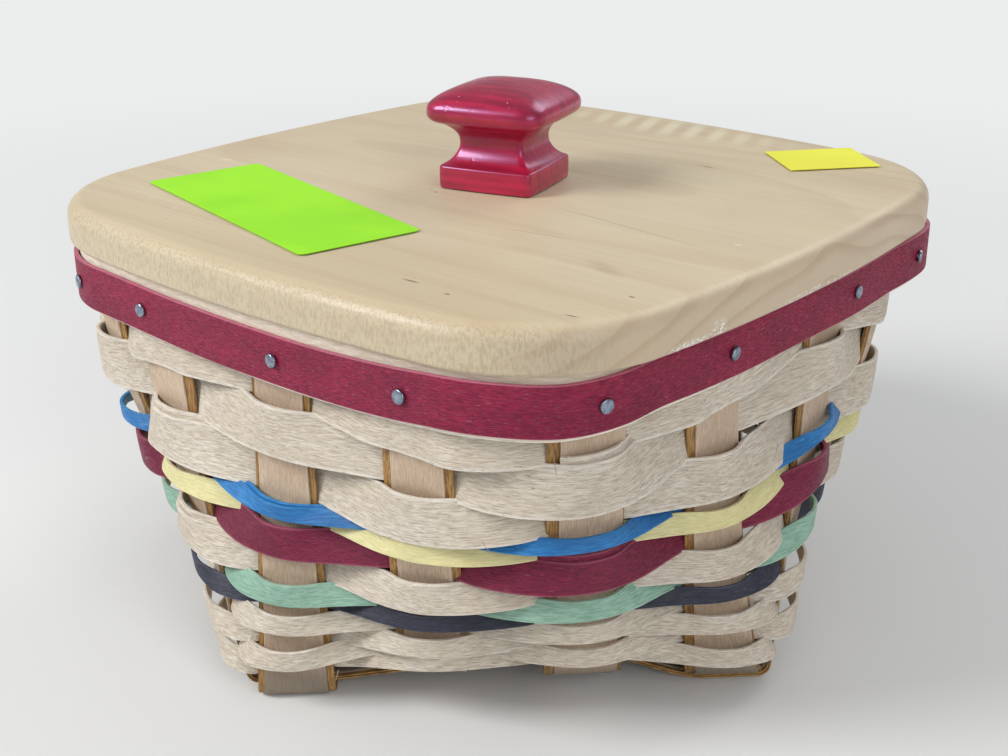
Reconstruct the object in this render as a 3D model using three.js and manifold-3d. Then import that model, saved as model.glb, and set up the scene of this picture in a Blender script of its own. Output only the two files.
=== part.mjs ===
// A square woven splint basket with a solid maple lid. The floor square is turned about an eighth
// of a turn from the rim square, so the wall is faceted: it stands almost upright over the corners
// of the floor and flares under the corners of the rim.
// Millimetres, +Z up. The origin is on the surface the basket stands on, under its centre. The rim's
// front side faces -Y and its right side faces +X.
import * as THREE from "three";
import { mergeVertices } from "three/addons/utils/BufferGeometryUtils.js";
import Module from "manifold-3d";

const wasm = await Module();
wasm.setup();

// Clearances.
const gap = 0.3;
const weaverGap = 0.45;
const rimSlack = 0.4;
const innerSlack = 0.9;
const rowSeat = 4.175;

// Lid board.
const lidSide = 178;
// The lid lies this far right and back of the middle of the basket.
const lidX = 0.4;
const lidY = 1.8;
// The basket and the lid stand this far left and forward, which puts their common box over the
// origin.
const centringX = -0.2;
const centringY = -1.2;
const lidCorner = 36.5;
const lidSweep = 6.5;
const lidThickness = 10;
const lidOverhang = 3.6;
const lidTopRound = 4;
const lidLowerRound = 1.2;
const lidStepDepth = 3;
const lidStepPlay = 1;

// Knob on the lid, square in plan, and its screw.
const knobX = 1.5;
const knobY = 1;
const knobTurn = 15;
const plinthSide = 25.4;
const plinthHeight = 5.6;
const neckSide = 17.6;
const neckHeight = 11.8;
const capSide = 31.8;
const capLower = 16.6;
const capWidest = 19;
const knobHeight = 25.4;
const screwRadius = 1.8;
const screwHeadRadius = 3.6;
const screwHeadHeight = 1.6;
const screwBite = 13;

// Rim strips, from the outside in: red strip, outer strip, and inner strip behind the splints.
const rimSweep = 4.4;
const rimCorner = 32.5;
const redStripHeight = 11;
const redStripThickness = 1.1;
const outerStripHeight = 14.4;
const outerStripThickness = 1.2;
const innerStripThickness = 1.2;
const redStripLift = 1.1;
const rimCover = 3.8;

// Floor and upright splints: eight long strips, each one floor strip and two uprights. Their side
// edges are bevelled, so the outer face is narrower than the strip.
const splintWidth = 18.2;
const splintFace = 14.6;
const splintThickness = 1.8;
const splintTopDrop = 1;
const floorPitch = 33.6;
const floorTurn = 43;
const floorKick = 5.5;
const floorEdgeKick = 4.2;
const foldRadius = 2.5;
const flare = 1.8;
const perSide = 4;

// How far the uprights of a side stand from an even spacing where they meet the rim. The front and
// back sides are spaced alike, and so are the right and left sides.
const uprightShifts = [
  [-6.1, -15.4, -10.9, -8.3],
  [-7.1, -4.7, 5.9, 7.1],
];
// How far the tacks of a side are from the middle of their uprights.
const tackShifts = [
  [0, 0, 4.3, 0.9],
  [0, -1.2, 5, 0],
];

// Tacks.
const tackHeadRadius = 1.6;
const tackHeadHeight = 0.7;
const tackShankRadius = 0.55;

// Weavers, each a closed hoop. The rise is the height that a row adds to the wall: less than its
// width, because a weaver tips where it dives between its neighbours.
const weaverThickness = 1.1;
const lowBulge = 4.4;
const highBulge = 1.8;
const innerBulge = 0.4;
const topDip = 2.5;
const wide = { width: 12.7, rise: 10.7 };
const fairlyWide = { width: 12, rise: 8.6 };
const broad = { width: 8.7, rise: 6.1 };
const middling = { width: 6.4, rise: 4.6 };
const narrow = { width: 4.9, rise: 4.2 };

// Blank paper labels on the lid: the distances of their middles from its sides, size and turn.
const paperThickness = 0.25;
const greenLabel = { fromLeft: 63.1, fromFront: 37.2, length: 77, width: 30.5, turn: -13 };
const yellowLabel = { fromRight: 38.4, fromBack: 20.3, length: 24, width: 20.5, turn: 50 };

const natural = { color: 0xd8c7a8, roughness: 0.75, metalness: 0 };
const tan = { color: 0xcdb591, roughness: 0.78, metalness: 0 };
const maple = { color: 0xc9b184, roughness: 0.5, metalness: 0 };
const burgundy = { color: 0x7d2340, roughness: 0.7, metalness: 0 };

// Weaver rows from the top down.
const rows = [
  { name: "weaver_01_natural", size: wide, look: natural },
  { name: "weaver_02_natural", size: wide, look: natural },
  { name: "weaver_03_natural", size: fairlyWide, look: natural },
  { name: "weaver_04_blue", size: narrow, look: { color: 0x1d78c8, roughness: 0.65, metalness: 0 } },
  { name: "weaver_05_yellow", size: narrow, look: { color: 0xe6e0a2, roughness: 0.7, metalness: 0 } },
  { name: "weaver_06_burgundy", size: broad, look: burgundy },
  { name: "weaver_07_natural", size: broad, look: natural },
  { name: "weaver_08_green", size: middling, look: { color: 0x8dbfa2, roughness: 0.7, metalness: 0 } },
  { name: "weaver_09_slate", size: narrow, look: { color: 0x595470, roughness: 0.7, metalness: 0 } },
  { name: "weaver_10_natural", size: narrow, look: natural },
  { name: "weaver_11_natural", size: narrow, look: natural },
  { name: "weaver_12_natural", size: narrow, look: natural },
  { name: "weaver_13_natural", size: narrow, look: natural },
];

const radians = THREE.MathUtils.degToRad;
const lerp = THREE.MathUtils.lerp;
const uprightCount = 4 * perSide;

// A square with bowed sides and round corners. sweep is half the angle that a side's arc turns
// through; the corner arcs turn through the rest. Outlines with the same sweep, and with half and
// corner changed by the same amount, are parallel.
class RoundedSquare {
  constructor(half, corner, sweep) {
    this.half = half;
    this.corner = corner;
    this.sweep = radians(sweep);
    const reach = (half - corner) / (1 + Math.sin(this.sweep) - Math.cos(this.sweep));
    this.sideRadius = reach + corner;
    this.sideLength = 2 * this.sweep * this.sideRadius;
    this.cornerX = Math.sin(this.sweep) * reach;
    this.cornerLength = (Math.PI / 2 - 2 * this.sweep) * corner;
  }
  // The point and heading at a distance along a side from its middle; offset is outward.
  at(side, distance, offset = 0) {
    const past = Math.abs(distance) - this.sideLength / 2;
    const onCorner = past > 0;
    const bend = onCorner
      ? Math.sign(distance) * (this.sweep + past / this.corner)
      : distance / this.sideRadius;
    const radius = (onCorner ? this.corner : this.sideRadius) + offset;
    const centre = onCorner
      ? new THREE.Vector2(Math.sign(distance) * this.cornerX, -this.cornerX)
      : new THREE.Vector2(0, this.sideRadius - this.half);
    const turn = (side * Math.PI) / 2;
    const point = centre
      .add(new THREE.Vector2(Math.sin(bend), -Math.cos(bend)).multiplyScalar(radius))
      .rotateAround(new THREE.Vector2(), turn);
    return { point, heading: bend + turn };
  }
  // Points round the outline, anticlockwise, with the same spacing whatever the offset.
  ring(offset, sideSteps, cornerSteps) {
    const points = [];
    for (let side = 0; side < 4; side++) {
      for (let i = 0; i < sideSteps; i++) {
        const along = (i / sideSteps - 0.5) * this.sideLength;
        points.push(this.at(side, along, offset).point);
      }
      for (let i = 0; i < cornerSteps; i++) {
        const along = this.sideLength / 2 + (i / cornerSteps) * this.cornerLength;
        points.push(this.at(side, along + 1e-6, offset).point);
      }
    }
    return points;
  }
}

// A closed skin over sections that all have the same number of points. A section runs
// anticlockwise as seen looking back along the sweep. The sweep is a loop, or its ends are capped.
function skin(sections, loop) {
  const count = sections[0].length;
  const triangles = [];
  const face = (a, b, c) => triangles.push(a, b, c);
  const last = loop ? sections.length : sections.length - 1;
  for (let i = 0; i < last; i++) {
    const here = sections[i];
    const next = sections[(i + 1) % sections.length];
    for (let j = 0; j < count; j++) {
      const k = (j + 1) % count;
      face(here[j], here[k], next[k]);
      face(here[j], next[k], next[j]);
    }
  }
  if (!loop) {
    cap(sections[0], true, face);
    cap(sections[sections.length - 1], false, face);
  }
  const positions = triangles.flatMap((p) => [p.x, p.y, p.z]);
  const geometry = new THREE.BufferGeometry();
  geometry.setAttribute("position", new THREE.Float32BufferAttribute(positions, 3));
  geometry.computeVertexNormals();
  return geometry;
}

// Closes an end of a skin with quads between its two halves.
function cap(section, first, face) {
  const count = section.length;
  for (let i = 0; i < count / 2 - 1; i++) {
    const quad = [section[i], section[i + 1], section[count - 2 - i], section[count - 1 - i]];
    if (first) quad.reverse();
    face(quad[0], quad[1], quad[2]);
    face(quad[0], quad[2], quad[3]);
  }
}

// Stacks level outlines of [outline points, height] from the bottom up and closes both ends.
function stack(levels) {
  const sections = levels.map(([points, z]) => points.map((p) => new THREE.Vector3(p.x, p.y, z)));
  return skin(sections, false);
}

function solidOf(geometry) {
  const bare = geometry.index ? geometry.toNonIndexed() : geometry.clone();
  bare.deleteAttribute("normal");
  bare.deleteAttribute("uv");
  const merged = mergeVertices(bare, 1e-4);
  return new wasm.Manifold(
    new wasm.Mesh({
      numProp: 3,
      vertProperties: merged.attributes.position.array,
      triVerts: new Uint32Array(merged.index.array),
    }),
  );
}

function geometryOf(solid) {
  const mesh = solid.getMesh();
  const geometry = new THREE.BufferGeometry();
  geometry.setAttribute("position", new THREE.BufferAttribute(mesh.vertProperties, 3));
  geometry.setIndex(new THREE.BufferAttribute(mesh.triVerts, 1));
  geometry.computeVertexNormals();
  return geometry;
}

const basket = new THREE.Group();
const lid = new THREE.Group();

function addMesh(group, name, geometry, look) {
  const mesh = new THREE.Mesh(geometry, new THREE.MeshStandardMaterial(look));
  mesh.name = name;
  group.add(mesh);
}

// Radial layers at the rim, as distances from the middle surface of the splints.
const weaverOffset = splintThickness / 2 + weaverGap + weaverThickness / 2;
const outerStripOffset =
  weaverOffset + weaverThickness / 2 + rimSlack + outerStripThickness / 2;
const redStripOffset =
  outerStripOffset + outerStripThickness / 2 + gap + redStripThickness / 2;
const innerStripOffset =
  -(weaverOffset + weaverThickness / 2 + innerSlack + innerStripThickness / 2);
const redFace = redStripOffset + redStripThickness / 2;
const splintRim = new RoundedSquare(
  lidSide / 2 - lidOverhang - redFace,
  rimCorner - redFace,
  rimSweep,
);

// Heights, from the floor up.
const layerOffset = (splintThickness + gap) / 2;
const floorTop = 2 * splintThickness + gap;
const floorMiddle = floorTop / 2;
const floorEdge = ((perSide - 1) / 2) * floorPitch + splintWidth / 2;
const meanKick = floorEdgeKick / 2;
const lowestRow = rows[rows.length - 1].size;
const rowsBottom = meanKick + floorTop + rowSeat + (lowestRow.width - lowestRow.rise) / 2;
const rowsTop = rows.reduce((z, row) => z + row.size.rise, rowsBottom);
const rimBottom = rowsTop - rimCover;
const rimTop = rimBottom + outerStripHeight;
const lidBottom = rimTop + gap;
const lidTop = lidBottom + lidThickness;

// Where an upright of a rim side meets the rim, measured along the side from its middle.
const rimPitch = (splintRim.sideLength + splintRim.cornerLength) / perSide;
const rimPlace = (side, index) =>
  (index - (perSide - 1) / 2) * rimPitch + uprightShifts[side % 2][index];

// A place on the middle surface of the wall: a distance across upright i, at a height.
function wallPlace(i, across, z) {
  const upright = ((i % uprightCount) + uprightCount) % uprightCount;
  const side = Math.floor(upright / perSide);
  const index = upright % perSide;
  const turn = radians(floorTurn - 90) + (side * Math.PI) / 2;
  const along = (index - (perSide - 1) / 2) * floorPitch + across;
  const out = new THREE.Vector2(Math.cos(turn), Math.sin(turn));
  const aside = new THREE.Vector2(-out.y, out.x);
  const foot = out.multiplyScalar(floorEdge + foldRadius).addScaledVector(aside, along);
  const half = perSide / 2;
  const rimSide = index < half ? side : side + 1;
  const place = rimPlace(rimSide, index < half ? index + half : index - half);
  const head = splintRim.at(rimSide % 4, place + across);
  const level = THREE.MathUtils.clamp((z - meanKick) / (rowsTop - meanKick), 0, 1);
  const ease = 1 - (1 - level) ** flare;
  const footHeading = turn + Math.PI / 2;
  const twist = Math.atan2(
    Math.sin(head.heading - footHeading),
    Math.cos(head.heading - footHeading),
  );
  return { point: foot.lerp(head.point, ease), heading: footHeading + twist * ease };
}

const outwardOf = (heading) => new THREE.Vector2(Math.sin(heading), -Math.cos(heading));

function onWall(i, across, z, offset) {
  const place = wallPlace(i, across, z);
  const p = place.point.addScaledVector(outwardOf(place.heading), offset);
  return new THREE.Vector3(p.x, p.y, z);
}

// A point in the space between upright i and the next one, at a share of the way across.
function betweenUprights(i, share, z, offset) {
  const a = wallPlace(i, splintWidth / 2, z);
  const b = wallPlace(i + 1, -splintWidth / 2, z);
  const reach = a.point.distanceTo(b.point) / 3;
  const headingVector = (h) => new THREE.Vector2(Math.cos(h), Math.sin(h));
  const curve = new THREE.CubicBezierCurve(
    a.point,
    a.point.clone().addScaledVector(headingVector(a.heading), reach),
    b.point.clone().addScaledVector(headingVector(b.heading), -reach),
    b.point,
  );
  const tangent = curve.getTangent(share);
  const p = curve.getPoint(share).add(new THREE.Vector2(tangent.y, -tangent.x).multiplyScalar(offset));
  return new THREE.Vector3(p.x, p.y, z);
}

// How far a row runs above its nominal height at a place round the wall, counted in uprights. Low
// rows follow the kicked-up floor; high rows dip at the corners of the rim.
function sway(place, nominal) {
  const wave = Math.cos((2 * Math.PI * (place - (perSide - 1) / 2)) / perSide);
  const low = (floorEdgeKick / 2 / Math.cos(Math.PI / perSide)) * wave;
  return lerp(low, -topDip * wave, nominal / rimBottom);
}

// One weaver: outside every second upright and inside the others.
function weaver(size, nominal, firstOver, bulge) {
  const sections = [];
  const crossing = size.rise - gap;
  const step = splintWidth / 2 / floorPitch;
  // Across an upright: place, share of the full width that is out of the crossing, share of swell.
  const overUpright = [
    [-1, 0.6, 0.3],
    [-0.5, 0.95, 0.85],
    [0, 1, 1],
    [0.5, 0.95, 0.85],
    [1, 0.6, 0.3],
  ];
  const section = (place, height, pointAt) => {
    const low = nominal - height / 2 + sway(place, nominal - height / 2);
    const high = nominal + height / 2 + sway(place, nominal + height / 2);
    const inner = -weaverThickness / 2;
    const outer = weaverThickness / 2;
    return [pointAt(low, inner), pointAt(high, inner), pointAt(high, outer), pointAt(low, outer)];
  };
  for (let i = 0; i < uprightCount; i++) {
    const over = (i + firstOver) % 2 === 0;
    const sign = over ? 1 : -1;
    const swell = over ? bulge : innerBulge * Math.sign(bulge);
    const flat = sign * weaverOffset;
    for (const [across, openness, share] of overUpright) {
      const height = lerp(crossing, size.width, openness);
      sections.push(
        section(i + across * step, height, (z, side) =>
          onWall(i, (across * splintWidth) / 2, z, flat + sign * share * swell + side),
        ),
      );
    }
    for (const share of [0.3, 0.7]) {
      const offset = flat * (1 - 2 * share);
      sections.push(
        section(i + lerp(step, 1 - step, share), crossing, (z, side) =>
          betweenUprights(i, share, z, offset + side),
        ),
      );
    }
  }
  return skin(sections, true);
}

// A splint's section across the wall at a height: outer face, then inner face.
function wallSection(i, z, flip) {
  const face = (width, offset) =>
    [width / 2, 0, -width / 2].map((d) => onWall(i, d * flip, z, offset));
  const outer = face(splintFace, splintThickness / 2);
  return [...outer, ...face(splintWidth, -splintThickness / 2).reverse()];
}

// One splint from the top of upright i under the floor to the top of the upright across from it.
function splint(i) {
  const side = Math.floor(i / perSide);
  const index = i % perSide;
  const opposite = ((side + 2) % 4) * perSide + (perSide - 1 - index);
  const turn = radians(floorTurn - 90) + (side * Math.PI) / 2;
  const out = new THREE.Vector3(Math.cos(turn), Math.sin(turn), 0);
  const aside = new THREE.Vector3(-out.y, out.x, 0);
  const placeOf = (n) => (n - (perSide - 1) / 2) * floorPitch;
  const along = placeOf(index);
  // Over and under alternate from crossing to crossing and from splint to splint.
  const layer = (n) => ((n + index) % 2 === 0 ? 1 : -1) * layerOffset;
  const atEdge = (n) => n === 0 || n === perSide - 1;
  // The floor is kicked up between its corners: most in the middle, less along the edges.
  const kick = (n) => [floorKick, floorEdgeKick, 0][Number(atEdge(n)) + Number(atEdge(index))];
  const heightAt = (n) => kick(n) + floorMiddle + layer(n);
  const sections = [];
  const top = rimTop - splintTopDrop;
  const wall = (upright, foot, flip) => {
    const steps = 8;
    const list = [];
    for (let k = 0; k <= steps; k++) {
      const share = 1 - (1 - k / steps) ** 1.5;
      list.push(wallSection(upright, lerp(foot, rowsTop, share), flip));
    }
    list.push(wallSection(upright, top, flip));
    return list;
  };
  // A section lying in the floor or in a fold, facing down or out.
  const flatSection = (reach, z, down) => {
    const normal = out.clone().multiplyScalar(Math.cos(down)).add(new THREE.Vector3(0, 0, -Math.sin(down)));
    const middle = out.clone().multiplyScalar(reach).addScaledVector(aside, along).setZ(z);
    const face = (width, offset) =>
      [width / 2, 0, -width / 2].map((d) =>
        middle.clone().addScaledVector(aside, d).addScaledVector(normal, offset),
      );
    const outer = face(splintFace, splintThickness / 2);
    return [...outer, ...face(splintWidth, -splintThickness / 2).reverse()];
  };
  const fold = (reachSign, n) => {
    const floorZ = heightAt(n);
    const bend = Math.PI / 4;
    const reach = reachSign * (floorEdge + foldRadius * Math.sin(bend));
    const z = floorZ + foldRadius * (1 - Math.cos(bend));
    return flatSection(reach, z, reachSign > 0 ? bend : Math.PI - bend);
  };
  const firstFoot = heightAt(perSide - 1) + foldRadius;
  const lastFoot = heightAt(0) + foldRadius;
  sections.push(...wall(i, firstFoot, 1).reverse());
  sections.push(fold(1, perSide - 1));
  for (let n = perSide - 1; n >= 0; n--) {
    for (const edge of [1, -1]) {
      const reach = placeOf(n) + (edge * splintWidth) / 2;
      sections.push(flatSection(reach, heightAt(n), Math.PI / 2));
    }
  }
  sections.push(fold(-1, 0));
  sections.push(...wall(opposite, lastFoot, -1));
  return skin(sections, false);
}

// A level strip bent round the rim at a distance from the middle surface of the splints.
function rimStrip(offset, thickness, bottom, height) {
  const inside = splintRim.ring(offset - thickness / 2, 5, 5);
  const outside = splintRim.ring(offset + thickness / 2, 5, 5);
  const sections = inside.map((p, i) => [
    new THREE.Vector3(p.x, p.y, bottom),
    new THREE.Vector3(p.x, p.y, bottom + height),
    new THREE.Vector3(outside[i].x, outside[i].y, bottom + height),
    new THREE.Vector3(outside[i].x, outside[i].y, bottom),
  ]);
  return skin(sections, true);
}

const redStripBottom = rimBottom + redStripLift;
const tackHeight = redStripBottom + redStripHeight / 2;
const tacks = [];
for (let side = 0; side < 4; side++) {
  tackShifts[side % 2].forEach((shift, index) => {
    tacks.push(splintRim.at(side, rimPlace(side, index) + shift));
  });
}
const tackReach = innerStripOffset - innerStripThickness / 2;

// Places a shape made along +Y, pointing outward, at a tack's place on the rim.
function atTack(geometry, tack) {
  return geometry.rotateZ(tack.heading + Math.PI).translate(tack.point.x, tack.point.y, tackHeight);
}

const drillLength = redFace - tackReach + 4;
const drills = wasm.Manifold.union(
  tacks.map((tack) => {
    const drill = new THREE.CylinderGeometry(
      tackShankRadius + gap,
      tackShankRadius + gap,
      drillLength,
      5,
    );
    drill.translate(0, (redFace + tackReach) / 2, 0);
    return solidOf(atTack(drill, tack));
  }),
);
const drilled = (geometry) => geometryOf(solidOf(geometry).subtract(drills));

addMesh(
  basket,
  "rim_strip_red",
  drilled(rimStrip(redStripOffset, redStripThickness, redStripBottom, redStripHeight)),
  burgundy,
);
addMesh(
  basket,
  "rim_strip_outer",
  drilled(rimStrip(outerStripOffset, outerStripThickness, rimBottom, outerStripHeight)),
  natural,
);
addMesh(
  basket,
  "rim_strip_inner",
  drilled(rimStrip(innerStripOffset, innerStripThickness, rimBottom, outerStripHeight)),
  natural,
);

tacks.forEach((tack, i) => {
  const head = redFace + gap;
  const profile = [
    [0, tackReach],
    [tackShankRadius, tackReach],
    [tackShankRadius, head],
    [tackHeadRadius, head],
    [tackHeadRadius * 0.7, head + tackHeadHeight],
    [0, head + tackHeadHeight],
  ].map(([r, y]) => new THREE.Vector2(r, y));
  const geometry = atTack(new THREE.LatheGeometry(profile, 6), tack);
  const name = "tack_" + String(i + 1).padStart(2, "0");
  addMesh(basket, name, geometry, { color: 0x9aa3ad, roughness: 0.35, metalness: 1 });
});

let rowTop = rowsTop;
rows.forEach((row, i) => {
  const nominal = rowTop - row.size.rise / 2;
  rowTop -= row.size.rise;
  const underRim = i === 0;
  const bulge = underRim ? 0 : lerp(lowBulge, highBulge, nominal / rimBottom);
  const hoop = weaver(row.size, nominal, (i + 1) % 2, bulge);
  addMesh(basket, row.name, underRim ? drilled(hoop) : hoop, row.look);
});

for (let side = 0; side < 2; side++) {
  for (let n = 0; n < perSide; n++) {
    const name = "splint_" + "ab"[side] + (n + 1);
    addMesh(basket, name, drilled(splint(side * perSide + n)), tan);
  }
}

// Lid board: a step below fits inside the inner strip, the outer edge is rounded over.
const lidOutline = new RoundedSquare(lidSide / 2, lidCorner, lidSweep);
const lidPlace = new THREE.Vector2(lidX, lidY);
const lidRing = (inset) => lidOutline.ring(-inset, 4, 6).map((p) => p.clone().add(lidPlace));
const stepInset = innerStripOffset - innerStripThickness / 2 - lidStepPlay;
const stepRing = splintRim.ring(stepInset, 4, 6);
const lidLevels = [
  [stepRing, lidBottom - lidStepDepth],
  [stepRing, lidBottom],
  [lidRing(lidLowerRound), lidBottom],
  [lidRing(0), lidBottom + lidLowerRound],
];
const roundSteps = 4;
for (let k = 0; k <= roundSteps; k++) {
  const angle = ((k / roundSteps) * Math.PI) / 2;
  lidLevels.push([
    lidRing(lidTopRound * (1 - Math.cos(angle))),
    lidTop - lidTopRound * (1 - Math.sin(angle)),
  ]);
}
const screwTop = lidTop + gap + screwBite;
const screwSeat = lidBottom - lidStepDepth;
const holeLength = screwTop - screwSeat + 4 * gap;
const screwHole = new THREE.CylinderGeometry(screwRadius + gap, screwRadius + gap, holeLength, 10)
  .rotateX(Math.PI / 2)
  .translate(knobX, knobY, screwTop + gap - holeLength / 2);
const screwHoleSolid = solidOf(screwHole);
addMesh(lid, "lid_board", geometryOf(solidOf(stack(lidLevels)).subtract(screwHoleSolid)), maple);

// Knob: plinth, hollow neck and pillow cap, all square in plan with round corners.
const knobBase = lidTop + gap;
const knobLevels = [
  [plinthSide, 1, 0],
  [plinthSide, 1, plinthHeight - 0.8],
  [plinthSide - 1.2, 1, plinthHeight],
  [lerp(neckSide, plinthSide, 0.35), 1.5, plinthHeight + 1.4],
  [neckSide, 2, lerp(plinthHeight, neckHeight, 0.65)],
  [neckSide, 2, neckHeight],
  [lerp(neckSide, capSide, 0.3), 2.5, lerp(neckHeight, capLower, 0.6)],
  [capSide - 3, 4, capLower],
  [capSide - 0.8, 5, lerp(capLower, capWidest, 0.5)],
  [capSide, 5.5, capWidest],
  [capSide - 1.4, 5.5, capWidest + 1.8],
  [capSide * 0.76, 5, lerp(capWidest, knobHeight, 0.68)],
  [capSide * 0.42, 4, knobHeight - 0.5],
  [capSide * 0.16, 2, knobHeight],
];
const knob = stack(
  knobLevels.map(([side, corner, z]) => [
    new RoundedSquare(side / 2, corner, 4).ring(0, 2, 4),
    knobBase + z,
  ]),
);
knob.rotateZ(radians(knobTurn)).translate(knobX, knobY, 0);
const knobSolid = solidOf(knob).subtract(screwHoleSolid);
addMesh(lid, "knob", geometryOf(knobSolid), { color: 0xa81528, roughness: 0.25, metalness: 0 });

// Wood screw up through the lid into the knob, its head under the lid.
const screwProfile = [
  [0, screwSeat - gap - screwHeadHeight],
  [screwHeadRadius * 0.7, screwSeat - gap - screwHeadHeight],
  [screwHeadRadius, screwSeat - gap - screwHeadHeight * 0.4],
  [screwHeadRadius, screwSeat - gap],
  [screwRadius, screwSeat - gap],
  [screwRadius, screwTop - 2.5],
  [0.3, screwTop],
  [0, screwTop],
].map(([r, y]) => new THREE.Vector2(r, y));
const screw = new THREE.LatheGeometry(screwProfile, 10)
  .rotateX(Math.PI / 2)
  .translate(knobX, knobY, 0);
addMesh(lid, "knob_screw", screw, { color: 0xb8b8b4, roughness: 0.4, metalness: 1 });

function addLabel(name, label, x, y, color) {
  const paper = new THREE.BoxGeometry(label.length, label.width, paperThickness)
    .rotateZ(radians(label.turn))
    .translate(x, y, lidTop + gap + paperThickness / 2);
  addMesh(lid, name, paper, { color, roughness: 0.6, metalness: 0 });
}
const edge = lidSide / 2;
addLabel(
  "label_green_blank",
  greenLabel,
  lidX + greenLabel.fromLeft - edge,
  lidY + greenLabel.fromFront - edge,
  0x9bf01e,
);
addLabel(
  "label_yellow_blank",
  yellowLabel,
  lidX + edge - yellowLabel.fromRight,
  lidY + edge - yellowLabel.fromBack,
  0xf4f04a,
);

basket.position.set(centringX, centringY, 0);
lid.position.set(centringX, centringY, 0);
const group = new THREE.Group();
group.add(basket, lid);
export default group;
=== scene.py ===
import math
import random

import bpy
from mathutils import Matrix, Vector


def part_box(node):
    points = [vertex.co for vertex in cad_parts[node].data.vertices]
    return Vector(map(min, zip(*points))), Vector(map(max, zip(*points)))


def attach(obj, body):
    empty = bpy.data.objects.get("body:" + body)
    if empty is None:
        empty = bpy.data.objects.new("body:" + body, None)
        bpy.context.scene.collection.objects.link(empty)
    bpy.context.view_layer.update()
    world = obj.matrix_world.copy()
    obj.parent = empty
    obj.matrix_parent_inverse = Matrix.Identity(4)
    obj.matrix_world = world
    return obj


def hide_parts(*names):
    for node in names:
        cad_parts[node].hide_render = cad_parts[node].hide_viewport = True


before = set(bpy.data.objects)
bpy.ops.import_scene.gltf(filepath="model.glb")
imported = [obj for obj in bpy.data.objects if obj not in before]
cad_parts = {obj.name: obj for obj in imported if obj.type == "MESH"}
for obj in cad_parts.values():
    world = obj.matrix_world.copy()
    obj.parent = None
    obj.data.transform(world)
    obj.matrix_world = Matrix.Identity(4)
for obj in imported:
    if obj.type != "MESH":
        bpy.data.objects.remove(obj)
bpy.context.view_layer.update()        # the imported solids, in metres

bpy.ops.object.select_all(action="DESELECT")
mm = 0.001
tiny = 1e-6
centring = Vector((-0.2, -1.2, 0)) * mm  # the object stands this far from the middle of its basket
print("frame loaded:", len(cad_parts), "nodes")


# Camera, at the photograph's viewing angle.
view = {
    # angles in degrees, lens in millimetres, the rest in metres
    "azimuth": 40.683,
    "elevation": 22.21,
    "roll": -0.341,
    "lens": 52.035,
    "distance": 0.3624,
    "aside": 0.00124,
    "up": -0.04882,
}
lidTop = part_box("lid_board")[1].z


def addCamera(v):
    a, e, roll = (math.radians(v[k]) for k in ("azimuth", "elevation", "roll"))
    back = Vector((math.sin(a) * math.cos(e), -math.cos(a) * math.cos(e), math.sin(e)))
    right = Vector((math.cos(a), math.sin(a), 0))
    up = back.cross(right)
    aim = right * v["aside"] + up * v["up"] + Vector((0, 0, lidTop)) + centring
    place = aim + back * v["distance"]
    rolledRight = right * math.cos(roll) + up * math.sin(roll)
    rolledUp = up * math.cos(roll) - right * math.sin(roll)
    turn = Matrix((rolledRight, rolledUp, back)).transposed()
    bpy.ops.object.camera_add(location=place, rotation=turn.to_euler())
    camera = bpy.context.object
    camera.name = "photoCamera"
    camera.data.lens = v["lens"]
    camera.data.sensor_width = 36
    camera.data.clip_start = 0.01
    bpy.context.scene.camera = camera


addCamera(view)


# Shader helpers. Each adds nodes to a tree and gives back the socket that holds the result.
def newMaterial(name):
    material = bpy.data.materials.new(name)
    material.use_nodes = True
    material.node_tree.nodes.clear()
    return material, material.node_tree


def feed(tree, socket, value):
    # a link from another socket, or else a plain value on the socket itself
    if isinstance(value, bpy.types.NodeSocket):
        tree.links.new(value, socket)
    else:
        socket.default_value = value


def node(tree, kind, values=None, **settings):
    made = tree.nodes.new("ShaderNode" + kind)
    for key, value in settings.items():
        setattr(made, key, value)
    for key, value in (values or {}).items():
        feed(tree, made.inputs[key], value)
    return made


def surface(tree, values):
    shader = node(tree, "BsdfPrincipled", values)
    node(tree, "OutputMaterial", {0: shader.outputs[0]})


def maths(tree, operation, a, b=0.0):
    return node(tree, "Math", {0: a, 1: b}, operation=operation).outputs[0]


def times(tree, a, b):
    return maths(tree, "MULTIPLY", a, b)


def vectors(tree, operation, a, b):
    return node(tree, "VectorMath", {0: a, 1: b}, operation=operation).outputs[0]


def reachOf(tree, vector):
    return node(tree, "VectorMath", {0: vector}, operation="LENGTH").outputs["Value"]


def axes(tree, vector):
    return node(tree, "SeparateXYZ", {0: vector}).outputs


def turnedFlat(tree, vector, angle):
    made = node(tree, "VectorRotate", {"Vector": vector, "Angle": angle}, rotation_type="Z_AXIS")
    return made.outputs[0]


def ramp(tree, value, low, high, outLow=0.0, outHigh=1.0):
    # a smooth step between two values
    made = node(
        tree,
        "MapRange",
        {"Value": value, "From Min": low, "From Max": high, "To Min": outLow, "To Max": outHigh},
        interpolation_type="SMOOTHSTEP",
    )
    return made.outputs[0]


def mixed(tree, share, a, b):
    made = node(tree, "Mix", {0: share}, data_type="RGBA")
    for socket, value in ((made.inputs[6], a), (made.inputs[7], b)):
        feed(tree, socket, (*value, 1) if isinstance(value, tuple) else value)
    return made.outputs[2]


def tinted(tree, colour, mask, strength, other):
    # another colour over the first, as strong as is said where the mask is full
    return mixed(tree, times(tree, mask, strength), colour, other)


def noise(tree, vector, scale, stretch=(1, 1, 1), detail=3, rough=0.55, warp=0.0):
    mapped = node(tree, "Mapping", {"Vector": vector, "Scale": stretch}).outputs[0]
    values = {"Vector": mapped, "Scale": scale, "Detail": detail, "Roughness": rough}
    return node(tree, "TexNoise", {**values, "Distortion": warp}).outputs["Fac"]


def bumped(tree, height, strength, distance):
    values = {"Height": height, "Strength": strength, "Distance": distance}
    return node(tree, "Bump", values).outputs[0]


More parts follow.
